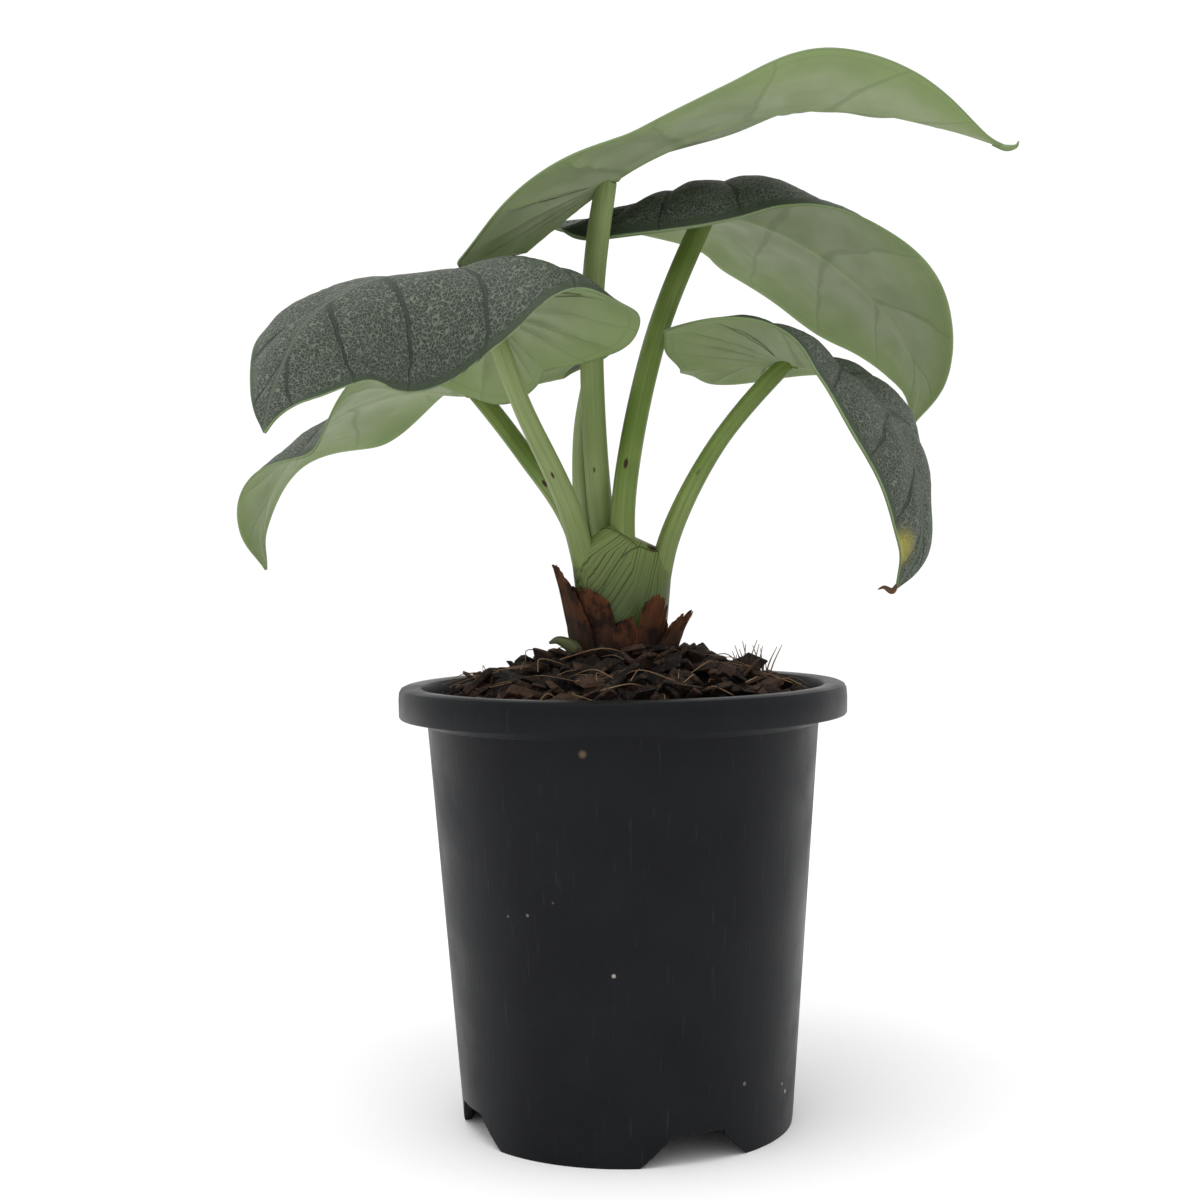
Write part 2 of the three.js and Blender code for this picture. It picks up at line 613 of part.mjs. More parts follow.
// Assembly, with every touching piece cut back so that a gap stays between them
const plant = new THREE.Group();
plant.position.set(POT_AXIS_X, POT_AXIS_Y, 0);

function addPiece(name, solid, material) {
  const mesh = new THREE.Mesh(geometryOf(solid), material);
  mesh.name = name;
  plant.add(mesh);
}

const petioleSolid = (leaf, grow = 0) => taperedTube(leaf.petiole, leaf.radii, grow);
const grownPetioles = Object.values(LEAVES).map((leaf) => petioleSolid(leaf, GAP));
const grownCrown = buildCrown(GAP);
const newLeaf = (grow) => taperedTube(NEW_LEAF.petiole, NEW_LEAF.radii, grow, 9, 8);
const bud = (grow) => taperedTube(BUD_ROUTE, BUD_RADII, grow, 6, 8);

addPiece('nursery_pot', buildPot(), pot);

const mixCutters = [grownCrown, bud(GAP), ...DRY_SHEATHS.map((sheath) => buildDrySheath(sheath, GAP))];
addPiece('potting_mix', buildMix(mixCutters), mix);

const sockets = [...grownPetioles, newLeaf(GAP)];
addPiece('crown', largestPiece(sockets.reduce((left, socket) => left.subtract(socket), buildCrown(0))), crown);

Object.entries(LEAVES).forEach(([letter, leaf], i) => {
  const cutters = [buildBlade(leaf, GAP), ...grownPetioles.slice(0, i)];
  const stalk = cutters.reduce((left, cutter) => left.subtract(cutter), petioleSolid(leaf));
  addPiece(`petiole_${letter}`, largestPiece(stalk), petiole);
  addPiece(`blade_${letter}`, buildBlade(leaf), blade);
});

const behindPetioles = grownPetioles.reduce((left, stalk) => left.subtract(stalk), newLeaf(0));
addPiece('new_leaf', largestPiece(behindPetioles), youngLeaf);
addPiece('side_bud', largestPiece(bud(0).subtract(grownCrown)), crown);

const inTheWay = [grownCrown, bud(GAP), newLeaf(GAP), ...grownPetioles];
DRY_SHEATHS.forEach((sheath, i) => {
  const sheet = inTheWay.reduce((left, cutter) => left.subtract(cutter), buildDrySheath(sheath));
  addPiece(`dry_sheath_${i + 1}`, largestPiece(sheet), dryLeaf);
});

export default plant;
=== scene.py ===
# %% [markdown]
# # A young plant with five quilted leaves in a black nursery pot
# The object is a small houseplant: thick, shield-shaped leaves on stout green stalks, in a plastic pot of
# bark mix. The solid model gives every piece its place and size. Here each piece is made again, with
# finer faces where the solid is coarse, and gets a finish built from nodes.

# %% The solid model, with each piece's placement applied to its mesh
import bisect
import random
from math import atan2, cos, exp, pi, radians, sin, sqrt

import bmesh
import bpy
from mathutils import Matrix, Vector, noise
from mathutils.bvhtree import BVHTree


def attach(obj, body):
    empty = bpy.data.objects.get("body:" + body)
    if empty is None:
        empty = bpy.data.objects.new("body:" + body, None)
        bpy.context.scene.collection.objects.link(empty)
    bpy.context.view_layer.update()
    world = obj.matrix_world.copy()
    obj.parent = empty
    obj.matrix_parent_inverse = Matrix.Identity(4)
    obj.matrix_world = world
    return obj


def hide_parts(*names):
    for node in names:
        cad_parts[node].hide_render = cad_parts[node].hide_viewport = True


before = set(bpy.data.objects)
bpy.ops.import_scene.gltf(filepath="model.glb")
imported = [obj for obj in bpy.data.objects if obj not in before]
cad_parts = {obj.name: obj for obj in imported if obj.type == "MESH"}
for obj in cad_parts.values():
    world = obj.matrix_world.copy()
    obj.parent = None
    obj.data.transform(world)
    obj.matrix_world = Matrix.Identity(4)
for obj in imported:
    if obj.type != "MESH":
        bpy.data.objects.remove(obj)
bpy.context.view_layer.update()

# %% [markdown]
# ## Units
# Shapes are easier to think about in millimetres from the pot's own axis, because the plant grows out of
# the middle of the pot. Blender works in metres from the middle of the whole object's box, so one matrix
# turns the first into the second when a piece is finished.

# %% From millimetres about the pot's axis to metres in the object's frame
MILLIMETRE = 0.001
POT_AXIS = Vector((11.6, -3.7, 0))
TO_OBJECT = Matrix.Scale(MILLIMETRE, 4) @ Matrix.Translation(POT_AXIS)


def mesh_of(name, bm):
    """Turns a bmesh into a mesh."""
    mesh = bpy.data.meshes.new(name)
    bm.to_mesh(mesh)
    bm.free()
    return mesh


def add_object(name, data):
    """Puts a new object in the scene."""
    thing = bpy.data.objects.new(name, data)
    bpy.context.scene.collection.objects.link(thing)
    return thing


def finish_piece(name, bm, finishes, node_names, smooth=True):
    """Makes a piece of a bmesh drawn in millimetres about the pot's axis."""
    bmesh.ops.recalc_face_normals(bm, faces=bm.faces)
    bm.transform(TO_OBJECT)
    mesh = mesh_of(name, bm)
    for finish in finishes:
        mesh.materials.append(finish.material)
    mesh.polygons.foreach_set("use_smooth", [smooth] * len(mesh.polygons))
    piece = add_object(name, mesh)
    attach(piece, "root")
    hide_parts(*node_names)
    print(name, "has", len(mesh.polygons), "faces")
    return piece


# %% [markdown]
# ## Smooth curves through a few rows of numbers
# A stalk or a midrib is known at a handful of places. A Catmull-Rom curve passes through all of them and
# stays smooth between, so a few rows can be read as finely as a piece needs.

# %% Reading a list of rows between its rows


def row_at(rows, place):
    """The values between the rows of a list, at a place counted in rows."""
    last = len(rows) - 1
    at = min(max(place, 0), last - 1e-9)
    i = int(at)
    w = at - i
    values = []
    for column, value in enumerate(rows[i]):
        following = rows[i + 1][column]
        before = rows[i - 1][column] if i > 0 else 2 * value - following
        after = rows[i + 2][column] if i + 2 <= last else 2 * following - value
        bend = 2 * before - 5 * value + 4 * following - after
        turn = -before + 3 * value - 3 * following + after
        values.append(0.5 * (2 * value + (following - before) * w + bend * w * w + turn * w * w * w))
    return values


def smoothstep(value, low, high):
    """0 below low, 1 above high, and a soft step between."""
    t = min(max((value - low) / (high - low), 0), 1)
    return t * t * (3 - 2 * t)


def lerp(a, b, t):
    """A share t of the way from a to b."""
    return a + (b - a) * t


def around(radius, turn, height):
    """The place at a distance from an upright axis, at a turn round it and at a height."""
    return Vector((radius * cos(turn), radius * sin(turn), height))


# %% [markdown]
# ## Building finishes from nodes
# Every finish is a small graph of nodes that ends in one Principled shader. One class keeps the graphs
# short: it adds nodes, joins their sockets, and has a short name for each kind that comes back often.

# %% A finish and the nodes that feed it


class Finish:
    """A material with one Principled shader, fed by a graph of nodes."""

    def __init__(self, name, roughness, specular=0.4):
        self.material = bpy.data.materials.new(name)
        self.material.use_nodes = True
        self.tree = self.material.node_tree
        self.shader = self.tree.nodes["Principled BSDF"]
        self.feed("Roughness", roughness)
        self.feed("Specular IOR Level", specular)

    def fill(self, socket, value):
        """Joins a socket to another one, or gives it a value."""
        if isinstance(value, bpy.types.NodeSocket):
            self.tree.links.new(value, socket)
        else:
            socket.default_value = value

    def feed(self, name, value):
        """Fills one of the shader's own sockets."""
        self.fill(self.shader.inputs[name], value)

    def add(self, kind, inputs=None, **settings):
        """Adds a node, sets its options, and fills its sockets."""
        node = self.tree.nodes.new("ShaderNode" + kind)
        for name, value in settings.items():
            setattr(node, name, value)
        for name, value in (inputs or {}).items():
            self.fill(node.inputs[name], value)
        return node

    def place(self):
        """Where a point lies in the object's frame, in metres."""
        return self.add("TexCoord").outputs["Object"]

    def parts(self, vector):
        """The X, Y and Z sockets of a vector."""
        return self.add("SeparateXYZ", {"Vector": vector}).outputs

    def math(self, operation, first, second=0):
        """One sum, difference or other operation on two numbers or sockets."""
        return self.add("Math", {0: first, 1: second}, operation=operation).outputs[0]

    def times(self, first, second):
        """A product."""
        return self.math("MULTIPLY", first, second)

    def soft(self, value, low, high, start=0, end=1):
        """Maps a value softly from low..high to start..end."""
        inputs = {"Value": value, "From Min": low, "From Max": high, "To Min": start, "To Max": end}
        return self.add("MapRange", inputs, interpolation_type="SMOOTHSTEP").outputs["Result"]

    def mix(self, share, first, second):
        """Mixes two colours by a share."""
        node = self.add("Mix", data_type="RGBA")
        for number, value in ((0, share), (6, first), (7, second)):
            self.fill(node.inputs[number], (*value, 1) if isinstance(value, tuple) else value)
        return node.outputs[2]

    def base(self, share, first, second):
        """Makes the colour a mix of two."""
        self.colour = self.mix(share, first, second)
        self.feed("Base Color", self.colour)

    def paint(self, share, over):
        """Lays another colour over the colour so far, by a share."""
        self.base(share, self.colour, over)

    def noise(self, coordinates, scale, detail=3, roughness=0.5):
        """A cloudy value between 0 and 1."""
        inputs = {"Vector": coordinates, "Scale": scale, "Detail": detail, "Roughness": roughness}
        return self.add("TexNoise", inputs).outputs["Fac"]

    def cells(self, coordinates, scale, **settings):
        """A pattern of cells."""
        return self.add("TexVoronoi", {"Vector": coordinates, "Scale": scale}, **settings).outputs

    def one_of(self, pattern):
        """A steady random value between 0 and 1 for each cell of a pattern."""
        return self.add("SeparateColor", {"Color": pattern["Color"]}).outputs["Red"]

    def stretch(self, coordinates, scale):
        """Coordinates stretched by a factor along each axis."""
        return self.add("Mapping", {"Vector": coordinates, "Scale": scale}).outputs["Vector"]

    def near(self, coordinates, spot, inner, outer):
        """1 within an inner distance of a place given in millimetres, 0 beyond an outer one."""
        inputs = {0: coordinates, 1: TO_OBJECT @ Vector(spot)}
        away = self.add("VectorMath", inputs, operation="DISTANCE").outputs["Value"]
        return self.soft(away, inner * MILLIMETRE, outer * MILLIMETRE, 1, 0)

    def bump(self, height, distance, strength):
        """Raises the surface by a height, in metres at its full value."""
        node = self.add("Bump", {"Height": height, "Distance": distance, "Strength": strength})
        self.feed("Normal", node.outputs["Normal"])


# %% [markdown]
# ## The camera, floor and light
# The photograph was taken from just above the rim of the pot, about 0.6 m away, level and turned by under
# a degree. White surroundings lit the plant from all round, which gives the black plastic its soft pale
# edges. So the world is nearly white, and one broad lamp above the camera adds a little direction.

# %% Camera
IMAGE_PIXELS = 1200
FOCAL_PIXELS = 1889
HORIZON_ABOVE_MIDDLE = 60
SENSOR = 36
CAMERA_PLACE = Vector((-6.4, -594, 181))
CAMERA_ROLL = 0.8

camera_data = bpy.data.cameras.new("camera")
camera_data.sensor_width = SENSOR
camera_data.lens = SENSOR * FOCAL_PIXELS / IMAGE_PIXELS
camera_data.shift_y = -HORIZON_ABOVE_MIDDLE / IMAGE_PIXELS
camera_data.clip_start = 0.01
camera = add_object("camera", camera_data)
camera.location = TO_OBJECT @ CAMERA_PLACE
camera.rotation_euler = (radians(90), radians(CAMERA_ROLL), 0)
bpy.context.scene.camera = camera
print("camera at", tuple(camera.location), "with a lens of", camera_data.lens, "mm")

# %% Floor
floor_bm = bmesh.new()
bmesh.ops.create_grid(floor_bm, x_segments=2, y_segments=2, size=6)
floor = add_object("floor", mesh_of("floor", floor_bm))
floor_finish = Finish("pale_floor", 0.9, 0.2)
floor_finish.feed("Base Color", (0.96, 0.96, 0.96, 1))
floor.data.materials.append(floor_finish.material)

# %% World and lamp
WORLD_STRENGTH = 1.05
LAMP_WATTS = 7
LAMP_SIZE = 0.9
LAMP_PLACE = (-0.2, -0.3, 1.3)
LIT_PLACE = Vector((0, 0, 0.2))

world = bpy.data.worlds.new("white_room")
world.use_nodes = True
background = world.node_tree.nodes["Background"]
background.inputs["Color"].default_value = (1, 1, 1, 1)
background.inputs["Strength"].default_value = WORLD_STRENGTH
bpy.context.scene.world = world
bpy.context.scene.view_settings.view_transform = "Standard"

lamp_data = bpy.data.lights.new("soft_lamp", "AREA")
lamp_data.energy = LAMP_WATTS
lamp_data.size = LAMP_SIZE
lamp = add_object("soft_lamp", lamp_data)
lamp.location = LAMP_PLACE
lamp.rotation_euler = (LIT_PLACE - lamp.location).to_track_quat("-Z", "Y").to_euler()

# %% [markdown]
# ## The nursery pot
# A thin moulded shell with a lip turned down all round, a raised base and short feet. Its wall has many
# steps, so a half outline spun round the axis gives them all at once, where cylinders would have to be
# stacked. The openings are cut afterwards with a Boolean.

# %% Heights and radii of the pot, and its half outline
TOP = 136
UNDER_RIM = TOP - 9.5
LEDGE = 124
PLATE_TOP = 11.3
PLATE_LOW = 9.7
WALL = 1.8
RIM = 70
RIM_INSIDE = 62.8
LIP = RIM_INSIDE + WALL
SKIRT_INSIDE = RIM - WALL
BODY_TOP = 61.2
BODY_BASE = 51.2
BASE_INSIDE = BODY_BASE - WALL
POT_OUTLINE = [
    (0, PLATE_LOW), (BASE_INSIDE, PLATE_LOW), (BASE_INSIDE - 0.4, 0), (BODY_BASE, 0), (BODY_BASE + 0.3, 2),
    (BODY_TOP - 0.2, LEDGE - 2), (BODY_TOP, LEDGE), (LIP, UNDER_RIM + 1.5), (LIP, TOP - WALL),
    (SKIRT_INSIDE, TOP - WALL - 0.6), (SKIRT_INSIDE, UNDER_RIM), (RIM - 0.3, UNDER_RIM),
    (RIM, UNDER_RIM + 0.5), (RIM + 0.1, TOP - 4), (RIM - 0.1, TOP - 1.6), (RIM - 0.7, TOP - 0.5),
    (RIM - 1.8, TOP), (RIM_INSIDE + 1.4, TOP), (RIM_INSIDE + 0.4, TOP - 0.3), (RIM_INSIDE, TOP - 1.2),
    (RIM_INSIDE, UNDER_RIM + 1), (BODY_TOP - WALL, LEDGE - 1), (BASE_INSIDE + 0.9, PLATE_TOP),
    (0, PLATE_TOP),
]

# %% Spinning an outline


def spin_outline(bm, outline, steps):
    """Turns a half outline once round the axis."""
    corners = [bm.verts.new((radius, 0, height)) for radius, height in outline]
    edges = [bm.edges.new(pair) for pair in zip(corners, corners[1:])]
    bmesh.ops.spin(
        bm, geom=corners + edges, cent=(0, 0, 0), axis=(0, 0, 1), angle=2 * pi, steps=steps,
        use_merge=True,
    )
    bmesh.ops.remove_doubles(bm, verts=bm.verts, dist=1e-4)
    bmesh.ops.recalc_face_normals(bm, faces=bm.faces)


pot_bm = bmesh.new()
spin_outline(pot_bm, POT_OUTLINE, 144)
print("the spun shell has", len(pot_bm.faces), "faces")

# %% Cutters for the gaps between the feet and for the drain holes
NOTCH_ANGLES = [radians(-67.7 + 90 * i) for i in range(4)]
NOTCH_OUTLINE = [
    (-18, -1), (18, -1), (9.5, 7.2), (8.6, 8.7), (7, 9.2), (-7, 9.2), (-8.6, 8.7), (-9.5, 7.2),
]
NOTCH_DEPTH = 16
HOLE_RADIUS = 5
HOLE_RING = 33


def add_notch(bm, angle):
    """A cutter block with the notch's outline, pushed out through the wall at an angle."""
    corners = [bm.verts.new((BODY_BASE - 9, y, z)) for y, z in NOTCH_OUTLINE]
    face = bm.faces.new(corners)
    pushed = bmesh.ops.extrude_face_region(bm, geom=[face], use_keep_orig=True)["geom"]
    moved = [item for item in pushed if isinstance(item, bmesh.types.BMVert)]
    bmesh.ops.translate(bm, verts=moved, vec=(NOTCH_DEPTH, 0, 0))
    bmesh.ops.rotate(bm, verts=corners + moved, cent=(0, 0, 0), matrix=Matrix.Rotation(angle, 3, "Z"))


def add_drain_hole(bm, angle, ring):
    """A short round cutter through the base plate."""
    centre = Matrix.Translation(around(ring, angle, (PLATE_LOW + PLATE_TOP) / 2))
    bmesh.ops.create_cone(
        bm, cap_ends=True, segments=32, radius1=HOLE_RADIUS, radius2=HOLE_RADIUS, depth=6, matrix=centre
    )


cutter_bm = bmesh.new()
for angle in NOTCH_ANGLES:
    add_notch(cutter_bm, angle)
    add_drain_hole(cutter_bm, angle, HOLE_RING)
    add_drain_hole(cutter_bm, angle + pi / 4, HOLE_RING)
add_drain_hole(cutter_bm, 0, 0)
bmesh.ops.recalc_face_normals(cutter_bm, faces=cutter_bm.faces)

# %% Cutting one mesh from another


def cut_away(bm, cutter):
    """Subtracts the cutter's bmesh from another, and gives the result as a new bmesh."""
    pair = []
    for source in (bm, cutter):
        pair.append(add_object("for_cutting", mesh_of("for_cutting", source)))
    boolean = pair[0].modifiers.new("cut", "BOOLEAN")
    boolean.operation = "DIFFERENCE"
    boolean.solver = "EXACT"
    boolean.object = pair[1]
    result = bmesh.new()
    result.from_object(pair[0], bpy.context.evaluated_depsgraph_get())
    for helper in pair:
        mesh = helper.data
        bpy.data.objects.remove(helper)
        bpy.data.meshes.remove(mesh)
    return result


pot_bm = cut_away(pot_bm, cutter_bm)
print("with its openings the pot has", len(pot_bm.faces), "faces")

# %% [markdown]
# Black plastic looks flat unless its small faults are there: faint scratches down the wall, dull clouds
# where water has dried, and a few pale specks of mix. The gloss varies with the clouds, so the white room
# shows as soft, uneven bands along the pot's edges.

# %% Finish of the black plastic
DEEP_BLACK = (0.0022, 0.0027, 0.0042)
WORN_BLACK = (0.0048, 0.0056, 0.0076)
SCRATCH_COLOUR = (0.03, 0.032, 0.035)
SPECK_COLOUR = (0.36, 0.33, 0.28)
MUD_COLOUR = (0.12, 0.085, 0.05)
MUD_SPOT = (-12, -58.6, 120.5)

plastic = Finish("black_plastic", 0.4, 0.14)
place = plastic.place()
clouds = plastic.noise(place, 38, 4, 0.6)
scratches = plastic.noise(plastic.stretch(place, (900, 900, 30)), 1, 2)
fine_grain = plastic.noise(place, 1400, 2)
speck_patches = plastic.soft(plastic.noise(place, 26, 2), 0.62, 0.72)
specks = plastic.soft(plastic.cells(place, 170)["Distance"], 0.07, 0.13, 1, 0)
specks = plastic.times(specks, speck_patches)
plastic.base(plastic.soft(clouds, 0.35, 0.7), DEEP_BLACK, WORN_BLACK)
plastic.paint(plastic.soft(scratches, 0.62, 0.8, 0, 0.3), SCRATCH_COLOUR)
plastic.paint(specks, SPECK_COLOUR)
plastic.paint(plastic.near(place, MUD_SPOT, 0.9, 1.9), MUD_COLOUR)
plastic.feed("Roughness", plastic.soft(clouds, 0.3, 0.75, 0.34, 0.5))
relief = plastic.math("ADD", plastic.times(scratches, 0.4), plastic.times(fine_grain, 0.3))
plastic.bump(plastic.math("ADD", relief, specks), 0.00012, 0.7)

# %% The pot as a piece
pot = finish_piece("pot_shell", pot_bm, [plastic], ["nursery_pot"])
pot.data.shade_smooth()
pot.data.set_sharp_from_angle(angle=radians(30))

# %% [markdown]
# ## The bark mix
# Chips of bark and shreds of coir fill the pot to the rim, heaped a little round the plant. A spun mound
# closes the heap underneath, its top pushed about by noise. Each chip is one small cube, tapered,
# bevelled and roughened, so that hundreds of them stay light.

# %% Mound under the chips
MOUND_OUTLINE = [
    (0, 12), (49.5, 12), (58.6, 122.8), (62, 128.2), (61.6, 130), (56, 130.4), (48, 133.2), (38, 136.4),
    (28, 139.6), (18, 142.4), (8, 143), (0, 143),
]
mix_bm = bmesh.new()
spin_outline(mix_bm, MOUND_OUTLINE, 96)
top_edges = [edge for edge in mix_bm.edges if all(vert.co.z > 125 for vert in edge.verts)]
bmesh.ops.subdivide_edges(mix_bm, edges=top_edges, cuts=3, use_grid_fill=True)
for vert in mix_bm.verts:
    radius = vert.co.xy.length
    if vert.co.z > 128 and radius < 60:
        vert.co.z += 1.6 * noise.noise(vert.co * 0.16) + 0.9 * noise.noise(vert.co * 0.5)

# %% One bark chip


def join_into(bm, piece):
    """Adds a small bmesh to a big one, which is much quicker than building inside the big one."""
    mesh = mesh_of("for_joining", piece)
    bm.from_mesh(mesh)
    bpy.data.meshes.remove(mesh)


def add_chip(whole, centre, size, turns, taper, draw):
    """A rough block of bark: a cube, narrowed towards one face, bevelled and roughened."""
    bm = bmesh.new()
    stretch = Matrix.Diagonal((*size, 1))
    chip = bmesh.ops.create_cube(bm, size=1, matrix=stretch)["verts"]
    for vert in chip:
        share = taper if vert.co.z > 0 else 1
        vert.co.x *= share * draw.uniform(0.8, 1.05)
        vert.co.y *= share * draw.uniform(0.75, 1.05)
        vert.co.z *= draw.uniform(0.6, 1)
    bmesh.ops.bevel(
        bm, geom=bm.edges[:], offset=min(size) * 0.16, affect="EDGES", segments=1, profile=0.5, material=-1
    )
    for axis, angle in zip("XYZ", turns):
        bmesh.ops.rotate(bm, verts=bm.verts, cent=(0, 0, 0), matrix=Matrix.Rotation(angle, 3, axis))
    bmesh.ops.translate(bm, verts=bm.verts, vec=centre)
    for vert in bm.verts:
        vert.co += noise.noise_vector(vert.co * 0.9) * min(size) * 0.12
    join_into(whole, bm)


# %% The big chips, on the same spiral and with the same draws as the solid mix
GOLDEN_TURN = pi * (3 - sqrt(5))
BIG_CHIPS = 40
CHIP_SEED = 11


def seeded_draw(seed):
    """A repeatable draw of numbers between 0 and 1."""
    state = seed
    while True:
        state = (state * 16807) % 2147483647
        yield state / 2147483647


def heap_height(ring):
    """How high the heap stands at a distance from the axis."""
    if ring < 38:
        return lerp(143, 137, (ring - 17) / 21)
    return lerp(137, 130, (ring - 38) / 18)


big_draw = seeded_draw(7)
chip_draw = random.Random(CHIP_SEED)
# Without a seed, vector noise would start from the clock.
noise.seed_set(CHIP_SEED)
for index in range(BIG_CHIPS):
    ring = lerp(17, 55, sqrt((index + 0.5) / BIG_CHIPS))
    length = lerp(9, 17, next(big_draw))
    width = length * lerp(0.55, 0.85, next(big_draw))
    thickness = lerp(5, 8, next(big_draw))
    turns = (lerp(-0.5, 0.5, next(big_draw)), lerp(-0.5, 0.5, next(big_draw)), next(big_draw) * pi)
    spot = around(ring, index * GOLDEN_TURN, heap_height(ring))
    add_chip(mix_bm, spot, (length, width, thickness), turns, 0.72, chip_draw)

# %% Small chips and splinters over the whole heap
SMALL_CHIPS = 460
within = chip_draw.uniform
for index in range(SMALL_CHIPS):
    ring = 59 * sqrt((index + 0.5) / SMALL_CHIPS)
    if ring < 13:
        continue
    turn = index * GOLDEN_TURN + within(-0.1, 0.1)
    length = within(4, 15) if ring < 52 else within(3, 9)
    size = (length, length * within(0.25, 0.7), within(1, 2.6))
    turns = (within(-0.7, 0.7), within(-0.7, 0.7), within(0, pi))
    rise = within(0.4, 4.2) if ring < 54 else within(-0.5, 2)
    spot = around(ring, turn, heap_height(ring) + rise)
    add_chip(mix_bm, spot, size, turns, within(0.6, 1), chip_draw)

# %% [markdown]
# Bark is almost black when damp, with rusty faces where it has split. Chips differ from each other more
# than one chip does in itself, so a coarse cell pattern picks a tone for each chip, and fine noise adds
# the fibres and pores.

# %% Finish of the bark
DAMP_BARK = (0.009, 0.006, 0.005)
RUSTY_BARK = (0.066, 0.035, 0.022)
FIBRE_COLOUR = (0.105, 0.056, 0.033)
PORE_COLOUR = (0.004, 0.003, 0.0025)

bark = Finish("damp_bark", 0.85, 0.25)
place = bark.place()
tone = bark.one_of(bark.cells(place, 110))
fibre = bark.noise(bark.stretch(place, (700, 260, 420)), 1, 5, 0.65)
pores = bark.noise(place, 900, 4, 0.7)
bark.base(bark.soft(tone, 0.2, 0.9), DAMP_BARK, RUSTY_BARK)
bark.paint(bark.soft(fibre, 0.5, 0.75, 0, 0.6), FIBRE_COLOUR)
bark.paint(bark.soft(pores, 0.55, 0.35, 0, 0.7), PORE_COLOUR)
bark.bump(bark.math("ADD", fibre, pores), 0.0009, 0.8)

# %% The mix as a piece
finish_piece("bark_mix", mix_bm, [bark], ["potting_mix"], smooth=False)

# %% [markdown]
# ## Pushing a ring along a route
# Stalks, sheath bases, the rolled new leaf, the bud and the coir are all tubes that bend and taper. A
# circle is extruded step by step, and a matrix moves each new ring from one step's frame to the next.
# Every vertex is told where it would lie if the tube were straight, so that streaks can follow the bend.

# %% Tube from a route and radii


def ring_frame(route, radii, t, flatness):
    """The matrix that puts a unit circle on the route at a share t of its length."""
    spans = len(route) - 1
    centre = Vector(row_at(route, t * spans))
    along = Vector(row_at(route, min(t + 0.01, 1) * spans)) - Vector(row_at(route, max(t - 0.01, 0) * spans))
    along.normalize()
    helper = Vector((0, 1, 0)) if abs(along.y) < 0.9 else Vector((1, 0, 0))
    across = helper.cross(along).normalized()
    other = along.cross(across)
    radius = row_at([[value] for value in radii], t * spans)[0]
    turned = Matrix((across, other, along)).transposed().to_4x4()
    return Matrix.Translation(centre) @ turned @ Matrix.Diagonal((radius, radius * flatness, 1, 1))


def add_tube(bm, route, radii, sides, steps, flatness=1):
    """Extrudes a circle along a route, and closes both ends."""
    straight = bm.verts.layers.float_vector.get("straight") or bm.verts.layers.float_vector.new("straight")
    here = ring_frame(route, radii, 0, flatness)
    ring = bmesh.ops.create_circle(bm, cap_ends=False, radius=1, segments=sides, matrix=here)["verts"]
    edges = list({edge for vert in ring for edge in vert.link_edges})
    bottom = list(edges)
    length = 0
    for step in range(steps + 1):
        radius = here.to_scale().x
        for vert in ring:
            round_place = here.inverted() @ vert.co
            vert[straight] = Vector((round_place.x * radius, round_place.y * radius, length)) * MILLIMETRE
        if step == steps:
            break
        following = ring_frame(route, radii, (step + 1) / steps, flatness)
        pushed = bmesh.ops.extrude_edge_only(bm, edges=edges)["geom"]
        ring = [item for item in pushed if isinstance(item, bmesh.types.BMVert)]
        edges = [item for item in pushed if isinstance(item, bmesh.types.BMEdge)]
        edges = [edge for edge in edges if edge.verts[0] in set(ring) and edge.verts[1] in set(ring)]
        bmesh.ops.transform(bm, matrix=following @ here.inverted(), verts=ring)
        length += (following.translation - here.translation).length
        here = following
    for rim in (bottom, edges):
        bmesh.ops.contextual_create(bm, geom=rim)


def finish_tube(name, tube, finish, node_name):
    """Makes a piece of one tube."""
    bm = bmesh.new()
    add_tube(bm, *tube)
    finish_piece(name, bm, [finish], [node_name])


# %% [markdown]
# ## The leaves' table
# One entry describes each leaf: where its stalk meets it, which way its tip points, how wide it is, how
# its margin ripples, its stalk's route, and stations along its midrib. A station gives how far ahead of
# the joint and above it the midrib lies, and its roll. Then, for the right and the left half of the
# blade, come how steeply it folds up at the midrib and how much it droops from there to the margin.
# Angles are in degrees.

